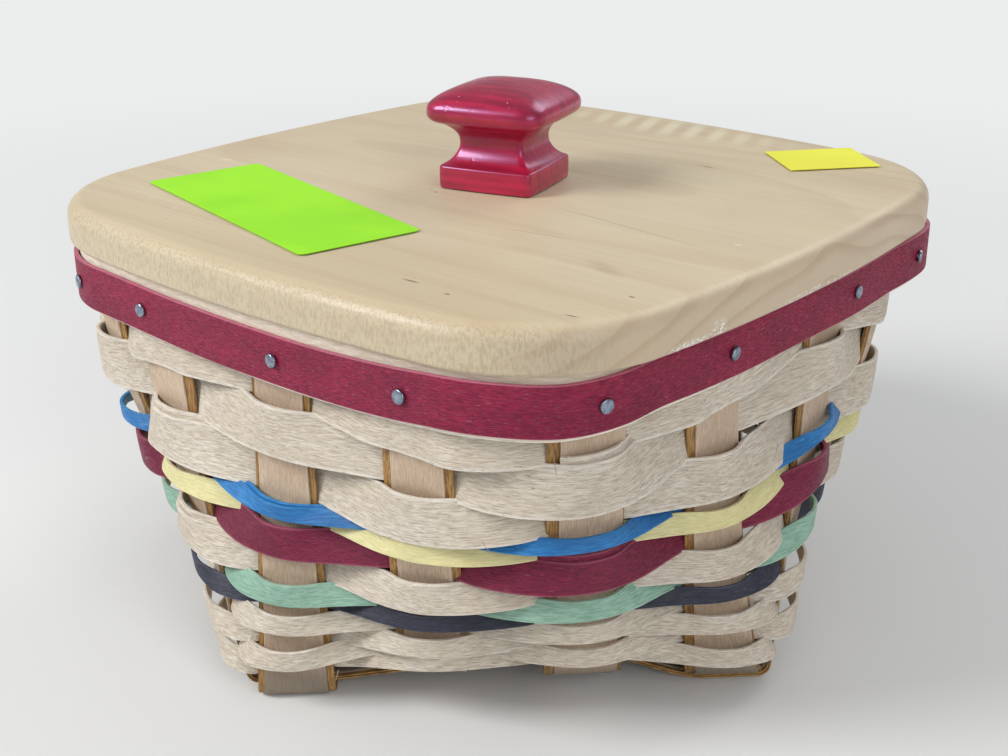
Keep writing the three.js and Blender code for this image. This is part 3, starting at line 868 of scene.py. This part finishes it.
# Rim strips, each a hoop whose ends lap at the back. Distances run round the rim in millimetres
# from the middle of the front side. The strips rise and dip a little, and at the back right
# corner they bend sharply and stand off the wall.
rim = {
    "lap": 22.0,
    "lapRamp": 8,
    "lapDepth": 0.52,
    "ripples": [(0.10, 23.0), (0.06, 7.3)],  # up and down: how far, and the length of one radian
    "waver": (0.1, 17.0),  # in and out
    "stations": 520,
    "edgeRound": 0.16,
    "lift": [
        # distance round the rim, lift
        (-50, 0), (-20, -0.45), (0, -0.8), (25, -0.65), (45, 0.1), (55, 0.9), (65, 1.0), (76, 0.5),
        (86, 0.9), (96, 1.45), (108, 1.05), (121, 0.75), (158, 0.5), (172, 0.1), (200, 0),
    ],
    "standOff": 6.5,
    "standOffAt": 218,
    "standOffSpread": 12,
    "strips": [
        # node, offset from the splints, thickness, lift, height, look, slot, where the lap starts
        # the outer strip wears the paler natural wood with painted light
        ("rim_strip_outer", 3.45, 1.2, 0.0, wall["rimHeight"], "rimNaturalPaintedLight", "natural_weaver", 330),
        ("rim_strip_red", 4.9, 1.1, 1.1, 11.0, "redStrip", "red_strip", 300),
        ("rim_strip_inner", -3.95, 1.2, 0.0, wall["rimHeight"], "natural", "natural_weaver", 360),
    ],
}


def rimShape(distance):
    # how far the strips are lifted and stand off at a distance round the rim
    distance = (distance + 100) % (4 * splintRim.quarter) - 100
    off = rim["standOff"] * math.exp(-(((distance - rim["standOffAt"]) / rim["standOffSpread"]) ** 2))
    return along(rim["lift"], distance), off


def rimHoop(name, offset, thickness, lift, height, look, start):
    perimeter = 4 * splintRim.quarter
    total = perimeter + rim["lap"]
    bottom = wall["rimBottom"] + lift
    (high, long), (low, short) = rim["ripples"]
    waver, waverLength = rim["waver"]

    def place(u, v):
        distance = u * total
        inner = smooth((rim["lap"] - distance) / rim["lapRamp"] + 0.5)
        outer = smooth((distance - perimeter) / rim["lapRamp"] + 0.5)
        ripple = high * math.sin(distance / long + offset) + low * math.sin(distance / short + v)
        raised, off = rimShape(start + distance)
        if offset < 0:
            raised, off, outer, inner = 0, 0, -outer, -inner  # the inner strip stays on the wall
        if look == "rimNaturalPaintedLight":
            raised *= 1 - v  # its top edge stays level
        lapped = thickness * rim["lapDepth"] * (outer - inner)
        depth = offset + off + waver * math.sin(distance / waverLength) + lapped
        (x, y), _ = splintRim.walk(start + distance, depth)
        z = bottom + raised + v * height + ripple
        return Vector((x, y, z)), (distance * mm + offset, (v - 0.5) * height * mm)

    return bendStrip(name, rim["stations"], 4, place, thickness, rim["edgeRound"], 0)


for nodeName, offset, thickness, lift, height, look, slot, start in rim["strips"]:
    piece = rimHoop(nodeName + "_hoop", offset, thickness, lift, height, look, start)
    settle(piece, "basket", slot, [nodeName], finish[look])
print("rim strips ready")


# Tacks: a flattened head, slightly domed, on a thin shank.
tacks = {
    "headRadius": 1.6,
    "headHeight": 0.7,
    "dome": 0.14,
    "faceShare": (0.94, 0.04),  # the worn face's least share of the head's radius, and its spread
    "headRound": 0.22,
    "shankRadius": 0.55,
    "headFrom": 5.75,  # distances out from the middle of the splints
    "shankTo": -4.55,
    "seat": 0.25,
    "lean": 5,  # at most, in degrees
    "z": 89.525,
    "colour": (0.31, 0.36, 0.45),
    "rough": 0.19,
}


def steelMaterial(name, colour, rough):
    material, tree = newMaterial(name)
    place = objectPlace(tree)
    spots = noise(tree, place, 900, detail=4)
    blotch = noise(tree, place, 260, detail=3)
    values = {
        "Base Color": mixed(tree, ramp(tree, spots, 0.35, 0.7), colour, tuple(c * 0.55 for c in colour)),
        "Metallic": 1.0,
        "Roughness": ramp(tree, spots, 0.3, 0.7, rough, rough + 0.22),
        "Normal": bumped(tree, blotch, 0.35, 0.0005),
    }
    surface(tree, values)
    return material


tackSteel = steelMaterial("tackSteelPlain", tacks["colour"], tacks["rough"])


def makeTack(number):
    side, index = divmod(number, wall["perSide"])
    chance = random.Random(number + 7)
    distance = rimPlace(side, index) + wall["tackShifts"][side % 2][index]
    raised, off = rimShape(side * splintRim.quarter + distance)
    (x, y), heading = splintRim.at(side, distance, tacks["headFrom"] + off)
    bpy.ops.mesh.primitive_cylinder_add(
        vertices=28,
        radius=tacks["headRadius"] * mm,
        depth=tacks["headHeight"] * mm,
        end_fill_type="TRIFAN",
    )
    head = bpy.context.object
    for vertex in head.data.vertices:
        if vertex.co.xy.length < tiny and vertex.co.z > 0:
            vertex.co.z += tacks["dome"] * mm
        elif vertex.co.z > 0:
            vertex.co.xy *= tacks["faceShare"][0] + tacks["faceShare"][1] * chance.random()
    modify(head, "BEVEL", width=tacks["headRound"] * mm, segments=3, angle_limit=math.radians(40))
    applyAll(head)
    length = tacks["headFrom"] - tacks["shankTo"]
    bpy.ops.mesh.primitive_cylinder_add(
        vertices=12,
        radius=tacks["shankRadius"] * mm,
        depth=length * mm,
        location=(0, 0, -length / 2 * mm),
    )
    head = joined([head, bpy.context.object], "tack_%02d_steel" % (number + 1))
    lean = [math.radians(chance.uniform(-tacks["lean"], tacks["lean"])) for _ in range(2)]
    out = Vector((math.sin(heading), -math.cos(heading), 0))
    turn = out.to_track_quat("Z", "Y").to_matrix().to_4x4()
    tilt = Matrix.Rotation(lean[0], 4, "X") @ Matrix.Rotation(lean[1], 4, "Y")
    seat = (Vector((x, y, tacks["z"] + raised)) + out * tacks["seat"]) * mm
    head.matrix_world = Matrix.Translation(seat) @ turn @ tilt
    only(head)
    bpy.ops.object.transform_apply(location=True, rotation=True, scale=True)
    shadeSmooth(35)
    return head


for number in range(wall["uprights"]):
    piece = makeTack(number)
    settle(piece, "basket", "tack_steel", ["tack_%02d" % (number + 1)], tackSteel)
print("tacks ready")


# Lid board with its step: outlines extruded down and rounded over.
lid = {
    "centre": (0.4, 1.8),
    "side": 178,
    "corner": 36.5,
    "sweep": 6.5,
    "bottom": 97.625,
    "top": 107.625,
    "topRound": 4.0,
    "lowerRound": 1.2,
    "stepInset": -5.55,
    "stepDepth": 3.0,
    "stepSunk": 0.5,  # the step reaches this far into the board, and its edge is rounded as much
    "points": 360,
}
lidOutline = RoundedSquare(lid["side"] / 2, lid["corner"], lid["sweep"])


def extrudedOutline(name, outline, offset, centre, low, high):
    bpy.ops.mesh.primitive_circle_add(vertices=lid["points"], fill_type="NGON")
    piece = bpy.context.object
    piece.name = name
    for n, vertex in enumerate(piece.data.vertices):
        (x, y), _ = outline.walk(n / lid["points"] * 4 * outline.quarter, offset)
        vertex.co = Vector((x + centre[0], y + centre[1], high)) * mm
    editAll()
    bpy.ops.mesh.extrude_region_move(TRANSFORM_OT_translate={"value": (0, 0, (low - high) * mm)})
    facesOut()
    return piece


def roundOver(piece, high, topShare, lowShare, width, segments):
    # rounds the upper and lower edges by their own shares of a width
    weights = piece.data.attributes.new("bevel_weight_edge", "FLOAT", "EDGE")
    for edge in piece.data.edges:
        a, b = (piece.data.vertices[k].co.z for k in edge.vertices)
        if abs(a - b) < tiny:
            weights.data[edge.index].value = topShare if abs(a - high * mm) < tiny else lowShare
    modify(piece, "BEVEL", limit_method="WEIGHT", width=width * mm, segments=segments)
    applyAll(piece)


def makeBoard():
    board = extrudedOutline("lidBoard", lidOutline, 0, lid["centre"], lid["bottom"], lid["top"])
    roundOver(board, lid["top"], 1.0, lid["lowerRound"] / lid["topRound"], lid["topRound"], 8)
    low, high = lid["bottom"] - lid["stepDepth"], lid["bottom"] + lid["stepSunk"]
    step = extrudedOutline("lidStep", splintRim, lid["stepInset"], (0, 0), low, high)
    roundOver(step, high, 0.0, 1.0, lid["stepSunk"], 3)
    board = joined([board, step], "lid_board_maple")
    shadeSmooth(40)
    return board


# Marks on wood: a soft oval at a place of the object, turned and sized.
def spotGroup():
    vectorInputs = [("Place", "Vector"), ("Centre", "Vector"), ("Size", "Vector")]
    numberInputs = [("Turn", "Float"), ("Soft", "Float")]
    tree, given, out = newGroup("ovalMark", vectorInputs + numberInputs, [("Mask", "Float")])
    moved = vectors(tree, "SUBTRACT", given["Place"], given["Centre"])
    scaled = vectors(tree, "DIVIDE", turnedFlat(tree, moved, given["Turn"]), given["Size"])
    inner = maths(tree, "SUBTRACT", 1.0, given["Soft"])
    feed(tree, out["Mask"], ramp(tree, reachOf(tree, scaled), inner, 1.0, 1.0, 0.0))
    return tree


ovalMark = spotGroup()


def markMask(tree, place, marks):
    # the strongest of several marks on the top of the lid
    total = None
    for x, y, turn, length, width, strength in marks:
        values = {
            "Place": place,
            "Centre": (x * mm, y * mm, 0.104),
            "Turn": -math.radians(turn),
            "Size": (length * mm, width * mm, 0.02),
            "Soft": 0.75,
        }
        mask = times(tree, useGroup(tree, ovalMark, values)["Mask"], strength)
        total = maths(tree, "MAXIMUM", total, mask) if total else mask
    return total


# Maple: growth rings of a board cut near the bark, long along x, with fine pores and ray flecks.
def mapleGroup():
    tree, given, out = newGroup(
        "mapleGrain",
        [("Place", "Vector")],
        [("Ring", "Float"), ("Fine", "Float"), ("Ray", "Float"), ("Tone", "Float")],
    )
    place = given["Place"]
    warp = maths(tree, "SUBTRACT", noise(tree, place, 9, (0.45, 1.6, 1.6), 2, 0.5), 0.5)
    small = noise(tree, place, 60, (0.12, 1, 1), 2, 0.5)
    _, y, z = axes(tree, place)
    across = maths(tree, "ADD", y, times(tree, warp, 0.045))
    bowed = maths(tree, "ADD", maths(tree, "ADD", z, 0.028), times(tree, warp, 0.03))
    square = maths(tree, "ADD", times(tree, across, across), times(tree, bowed, bowed))
    radius = maths(tree, "ADD", maths(tree, "SQRT", square), times(tree, small, 0.0016))
    saw = maths(tree, "FRACT", times(tree, radius, 190))
    late = ramp(tree, saw, 0.55, 0.97)
    drop = ramp(tree, saw, 0.0, 0.05, 1.0, 0.0)
    feed(tree, out["Ring"], maths(tree, "MAXIMUM", late, drop))
    feed(tree, out["Fine"], ramp(tree, noise(tree, place, 1500, (0.02, 1, 1), 3, 0.6), 0.35, 0.65))
    feed(tree, out["Ray"], ramp(tree, noise(tree, place, 1900, (1, 1, 0.32), 3, 0.6), 0.44, 0.62))
    feed(tree, out["Tone"], ramp(tree, noise(tree, place, 14, (0.4, 1.5, 1), 4, 0.55), 0.3, 0.7))
    return tree


mapleGrain = mapleGroup()
mapleLook = {
    "plain": (0.69, 0.59, 0.41),
    "second": (0.62, 0.505, 0.335),
    # strength and colour of each tint
    "rings": (0.17, (0.47, 0.335, 0.19)),
    "pores": (0.2, (0.50, 0.375, 0.225)),
    "ends": (0.5, (0.485, 0.365, 0.275)),
    "front": (0.45, (0.47, 0.42, 0.30)),
    "rays": (0.52, (0.37, 0.295, 0.195)),
    "endRings": (0.22, (0.34, 0.205, 0.11)),
    "ripple": (0.6, (0.84, 0.78, 0.58)),
    # x, y, turn in degrees, half length, half width, strength
    "darkMarks": [
        (37.6, -70.1, 2, 3.2, 0.5, 0.8), (48.6, -71.4, 0, 1.0, 0.6, 0.7), (32.0, 45.7, 0, 3.6, 0.5, 0.7),
        (77.2, -50.0, 0, 1.1, 0.6, 0.7), (75.0, -65.9, 7, 2.3, 0.45, 0.7), (-5.2, -17.0, 0, 0.9, 0.5, 0.8),
        (-8.3, -15.2, 20, 0.6, 0.4, 0.6), (62.2, -38.9, -25, 9, 3.2, 0.16), (47, -11.6, -7, 34, 0.45, 0.28),
        (36.4, -28.6, 9, 15, 0.4, 0.3), (20, 22, 3, 40, 0.5, 0.14), (-52, 35, -3, 26, 0.5, 0.16),
    ],
    "darkColour": (0.13, 0.062, 0.028),
    "paleMarks": [
        (74.7, -7.9, 10, 1.5, 0.7, 0.8), (-64.1, -11.6, 30, 1.0, 0.7, 0.6), (-48.2, -5.9, 0, 0.8, 0.6, 0.5),
        (-42.7, -66.4, -20, 1.1, 0.5, 0.5), (-54.2, -64.3, 0, 0.7, 0.5, 0.5), (-70.5, -28, 35, 2, 0.8, 0.8),
        (-20, 52, 12, 1.6, 0.3, 0.4), (52, 20, -35, 3, 0.22, 0.4), (8, -48, 60, 2.4, 0.2, 0.35),
    ],
    "paleColour": (0.82, 0.76, 0.62),
    "rippledPart": [(-2.0, 78.0, 0, 50, 13, 1.0)],
    "scuffs": [
        # middle and half size in metres, strength
        ((0.089, -0.0445, 0.0984), (0.006, 0.0105, 0.0014), 0.95),
        ((0.089, -0.0350, 0.0996), (0.006, 0.0030, 0.0024), 0.9),
        ((0.089, 0.0020, 0.0984), (0.006, 0.0200, 0.0013), 0.6),
    ],
    "scuffColour": (0.88, 0.89, 0.86),
    "gloss": 0.4,
    "rough": (0.36, 0.50),
}


def grained(tree, place, grain, look):
    # long grain on the top, rings on the ends of the board and ray flecks along its sides
    facing = axes(tree, node(tree, "NewGeometry").outputs["Normal"])
    endOn = ramp(tree, maths(tree, "ABSOLUTE", facing[0]), 0.35, 0.8)
    sideOn = ramp(tree, maths(tree, "ABSOLUTE", facing[1]), 0.25, 0.75)
    frontOn = times(tree, sideOn, ramp(tree, facing[2], 0.2, 0.85, 1.0, 0.0))
    colour = mixed(tree, grain["Tone"], look["plain"], look["second"])
    colour = tinted(tree, colour, grain["Ring"], *look["rings"])
    colour = tinted(tree, colour, grain["Fine"], *look["pores"])
    colour = tinted(tree, colour, endOn, *look["ends"])
    colour = tinted(tree, colour, frontOn, *look["front"])
    colour = tinted(tree, colour, times(tree, grain["Ray"], sideOn), *look["rays"])
    return tinted(tree, colour, times(tree, grain["Ring"], endOn), *look["endRings"])


def rippled(tree, place, colour, look):
    # pale bars that lie slanted across the grain near the back edge
    x, y, _ = axes(tree, place)
    slanted = maths(tree, "ADD", x, times(tree, y, 0.35))
    waves = node(tree, "Math", {0: times(tree, slanted, 800)}, operation="SINE").outputs[0]
    bars = times(tree, ramp(tree, waves, -0.9, 1.0), markMask(tree, place, look["rippledPart"]))
    return tinted(tree, colour, bars, *look["ripple"])


def scuffed(tree, place, colour, look):
    # chalky scuffs along the lower line of the right edge
    specks = ramp(tree, noise(tree, place, 2200, (1, 0.5, 0.8), 3, 0.7), 0.46, 0.58)
    for middle, size, strength in look["scuffs"]:
        patch = vectors(tree, "DIVIDE", vectors(tree, "SUBTRACT", place, middle), size)
        scuff = times(tree, ramp(tree, reachOf(tree, patch), 0.4, 1.0, 1.0, 0.0), specks)
        colour = tinted(tree, colour, scuff, strength, look["scuffColour"])
    return colour


def mapleMaterial(look):
    material, tree = newMaterial("sealedMaple")
    place = objectPlace(tree)
    grain = useGroup(tree, mapleGrain, {"Place": place})
    colour = grained(tree, place, grain, look)
    colour = mixed(tree, markMask(tree, place, look["darkMarks"]), colour, look["darkColour"])
    colour = mixed(tree, markMask(tree, place, look["paleMarks"]), colour, look["paleColour"])
    colour = rippled(tree, place, colour, look)
    colour = scuffed(tree, place, colour, look)
    height = maths(tree, "ADD", times(tree, grain["Fine"], 0.35), times(tree, grain["Ring"], 0.25))
    smear = noise(tree, place, 45, (1, 1, 1), 4, 0.6)
    values = {
        "Base Color": colour,
        "Roughness": ramp(tree, smear, 0.3, 0.7, *look["rough"]),
        "Specular IOR Level": look["gloss"],
        "Normal": bumped(tree, height, 0.10, 0.0003),
    }
    surface(tree, values)
    return material


settle(makeBoard(), "lid", "maple_board", ["lid_board"], mapleMaterial(mapleLook))
print("lid board ready")


# Knob: square in plan at every height, swept up through its profile.
knob = {
    "centre": (1.5, 1.0),
    "turn": 15,
    "base": 107.925,
    "sweep": 4,
    "around": 96,
    "profile": [
        # height, side, corner
        (0.0, 25.0, 0.7), (0.35, 25.4, 0.9), (4.7, 25.4, 0.9), (5.2, 25.3, 0.9), (5.55, 24.5, 0.9),
        (5.85, 23.0, 0.9), (6.5, 21.3, 1.0), (7.6, 19.4, 1.1), (9.0, 18.0, 1.2), (10.2, 17.5, 1.2),
        (11.6, 17.5, 1.2), (12.8, 18.3, 1.3), (13.9, 20.0, 1.5), (15.0, 22.6, 1.9), (15.7, 25.0, 2.6),
        (16.0, 27.0, 3.2), (16.3, 29.0, 3.8), (17.0, 30.8, 4.6), (17.9, 31.6, 5.0), (19.0, 31.8, 5.2),
        (20.0, 31.4, 5.2), (20.9, 30.3, 5.2), (21.9, 27.9, 5.1), (22.9, 24.6, 5.0), (23.8, 20.2, 4.8),
        (24.55, 14.6, 4.4), (25.05, 8.6, 3.4), (25.33, 3.2, 1.4), (25.4, 0.1, 0.04),
    ],
    "screwColour": (0.60, 0.60, 0.58),
    "screwRough": 0.3,
}


def turnedAbout(x, y, degrees, centre):
    angle = math.radians(degrees)
    c, s = math.cos(angle), math.sin(angle)
    return x * c - y * s + centre[0], x * s + y * c + centre[1]


def makeKnob():
    rings = len(knob["profile"]) - 1
    bpy.ops.mesh.primitive_grid_add(x_subdivisions=knob["around"], y_subdivisions=rings, size=1)
    piece = bpy.context.object
    piece.name = "knob_lacquered"
    for vertex in piece.data.vertices:
        u, v = vertex.co.x + 0.5, vertex.co.y + 0.5
        z, side, corner = knob["profile"][round(v * rings)]
        outline = RoundedSquare(side / 2, corner, knob["sweep"])
        (x, y), _ = outline.walk(u % 1 * 4 * outline.quarter)
        x, y = turnedAbout(x, y, knob["turn"], knob["centre"])
        vertex.co = Vector((x, y, knob["base"] + z)) * mm
    editAll()
    bpy.ops.mesh.remove_doubles(threshold=0.01 * mm)
    facesOut()
    modify(piece, "SUBSURF", levels=1, render_levels=1)
    applyAll(piece)
    shadeSmooth(60)
    return piece


lacquer = {
    "red": (0.50, 0.010, 0.050),
    "streak": (0.27, 0.005, 0.028),
    # strength and colour of each tint
    "pools": (0.3, (0.16, 0.004, 0.012)),
    "plinth": (0.22, (0.56, 0.03, 0.030)),
    "plinthGrain": (0.35, (0.16, 0.005, 0.012)),
    "specks": (0.80, 0.50, 0.55),
    "plinthTo": (0.108, 0.117),  # the plinth's tint fades between these heights, in metres
    "crownFrom": (0.127, 0.131),
    "shader": {
        "Roughness": 0.30,
        "Specular IOR Level": 0.9,
        "Specular Tint": (0.74, 0.52, 1.0, 1),
        "Coat Weight": 0.22,
        "Coat Roughness": 0.10,
    },
}


def lacquerMaterial(look):
    material, tree = newMaterial("redLacquer")
    place = objectPlace(tree)
    turned = turnedFlat(tree, place, -math.radians(knob["turn"]))
    streak = ramp(tree, noise(tree, turned, 520, (0.08, 1, 0.5), 4, 0.6, 0.4), 0.34, 0.68)
    pool = ramp(tree, noise(tree, turned, 90, (0.6, 1, 1), 3, 0.5), 0.3, 0.7)
    height = axes(tree, place)[2]
    low = ramp(tree, height, *look["plinthTo"], 1.0, 0.0)
    rings = node(
        tree,
        "TexWave",
        {"Vector": turned, "Scale": 150, "Distortion": 3.2, "Detail": 2, "Detail Scale": 0.6},
        wave_type="RINGS",
        rings_direction="X",
    ).outputs["Fac"]
    dents = ramp(tree, noise(tree, place, 340, detail=2), 0.62, 0.74)
    specks = ramp(tree, noise(tree, place, 1000, detail=2), 0.70, 0.75)
    crown = ramp(tree, height, *look["crownFrom"])
    colour = mixed(tree, streak, look["red"], look["streak"])
    colour = tinted(tree, colour, pool, *look["pools"])
    colour = tinted(tree, colour, low, *look["plinth"])
    colour = tinted(tree, colour, times(tree, rings, low), *look["plinthGrain"])
    colour = tinted(tree, colour, specks, crown, look["specks"])
    relief = maths(tree, "SUBTRACT", times(tree, streak, 0.12), times(tree, dents, 0.5))
    normal = bumped(tree, relief, 0.22, 0.0004)
    surface(tree, {"Base Color": colour, "Normal": normal, **look["shader"]})
    return material


settle(makeKnob(), "lid", "red_knob", ["knob"], lacquerMaterial(lacquer))
screwLook = steelMaterial("screwSteelPlain", knob["screwColour"], knob["screwRough"])
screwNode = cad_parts["knob_screw"]
screwNode.data.materials.clear()
screwNode.data.materials.append(screwLook)
print("knob and screw ready")


# Paper labels, left blank.
paper = {
    "z": 108.02,
    "thickness": 0.16,
    "rim": (0.4, 0.03),  # how far in the edge is pressed down, and how deep
    "labels": [
        # node, slot, centre, length, width, turn, corner, colour, second colour
        (
            "label_green_blank", "green_paper", (-25.5, -50.0), 77, 30.5, -13, 1.6,
            (0.36, 0.87, 0.01), (0.31, 0.80, 0.008),
        ),
        (
            "label_yellow_blank", "yellow_paper", (51.0, 70.5), 24, 20.5, 50, 0.3,
            (0.90, 0.89, 0.06), (0.84, 0.82, 0.05),
        ),
    ],
}


def paperMaterial(name, colour, second):
    material, tree = newMaterial(name)
    place = objectPlace(tree)
    pulp = noise(tree, place, 1800, (1, 0.4, 1), 4, 0.6)
    slow = noise(tree, place, 40, detail=2)
    pale = tuple(min(1, c * 1.15 + 0.03) for c in colour)
    tint = mixed(tree, ramp(tree, slow, 0.35, 0.65), colour, second)
    tint = mixed(tree, ramp(tree, pulp, 0.55, 0.8, 0.0, 0.18), tint, pale)
    relief = maths(tree, "ADD", pulp, times(tree, slow, 2.0))
    surface(tree, {"Base Color": tint, "Roughness": 0.55, "Normal": bumped(tree, relief, 0.12, 0.0003)})
    return material


def makeLabel(name, centre, length, width, turn, corner):
    bpy.ops.mesh.primitive_plane_add(size=1)
    label = bpy.context.object
    label.name = name
    for vertex in label.data.vertices:
        x, y = turnedAbout(vertex.co.x * length, vertex.co.y * width, turn, centre)
        vertex.co = Vector((x, y, paper["z"])) * mm
    inset, depth = paper["rim"]
    editAll()
    bpy.ops.mesh.bevel(offset=corner * mm, segments=6, affect="VERTICES")
    bpy.ops.mesh.inset(thickness=inset * mm, depth=depth * mm)
    bpy.ops.object.mode_set(mode="OBJECT")
    modify(label, "SOLIDIFY", thickness=paper["thickness"] * mm, offset=0)
    applyAll(label)
    return label


for nodeName, slot, centre, length, width, turn, corner, colour, second in paper["labels"]:
    label = makeLabel(nodeName + "_paper", centre, length, width, turn, corner)
    settle(label, "lid", slot, [nodeName], paperMaterial(slot + "Plain", colour, second))
print("labels ready")


# Stray fibres that lift off the strips.
fibres = {
    "radius": 0.09,
    "bow": (0.5, 1.1),
    "curl": 0.6,
    "strays": [
        # place in uprights, height, distance off, length, turn
        (1.77, 75.5, 3.2, 7.0, 100), (1.87, 79.5, 3.4, 4.0, 140), (3.4, 63.5, 5.5, 5.0, 200),
        (0.35, 12.0, 5.6, 4.0, 250), (14.6, 49.5, 6.4, 5.0, 20), (1.45, 60.2, 5.6, 3.5, 330),
        (3.1, 40.5, 7.0, 4.0, 60), (2.3, 29.5, 7.0, 3.0, 120),
    ],
}


def strayFibre(number, s, z, off, length, turn):
    bow = random.Random(number).uniform(*fibres["bow"])
    bpy.ops.mesh.primitive_cylinder_add(vertices=6, radius=fibres["radius"] * mm, depth=length * mm)
    hair = bpy.context.object
    hair.name = "stray_fibre_%d" % (number + 1)
    editAll()
    bpy.ops.mesh.subdivide(number_cuts=9)
    bpy.ops.object.mode_set(mode="OBJECT")
    base = atPlace(s, z, off)
    side = (atPlace(s + 0.05, z, off) - atPlace(s - 0.05, z, off)).normalized()
    out = (atPlace(s, z, off + 1) - base).normalized()
    angle = math.radians(turn)
    way = side * math.cos(angle) + Vector((0, 0, 1)) * math.sin(angle)
    for vertex in hair.data.vertices:
        u = vertex.co.z / (length * mm) + 0.5
        ring = (side * vertex.co.x + out * vertex.co.y) * (1.15 - u) / mm  # thinner towards its tip
        curl = side.cross(out) * (fibres["curl"] * math.sin(u * 4.0))
        middle = base + way * (u * length) + out * (bow * math.sin(u * 2.6)) + curl
        vertex.co = (middle + ring) * mm
    return hair


for number, stray in enumerate(fibres["strays"]):
    settle(strayFibre(number, *stray), "basket", "natural_weaver", [], finish["natural"])
print("stray fibres ready")
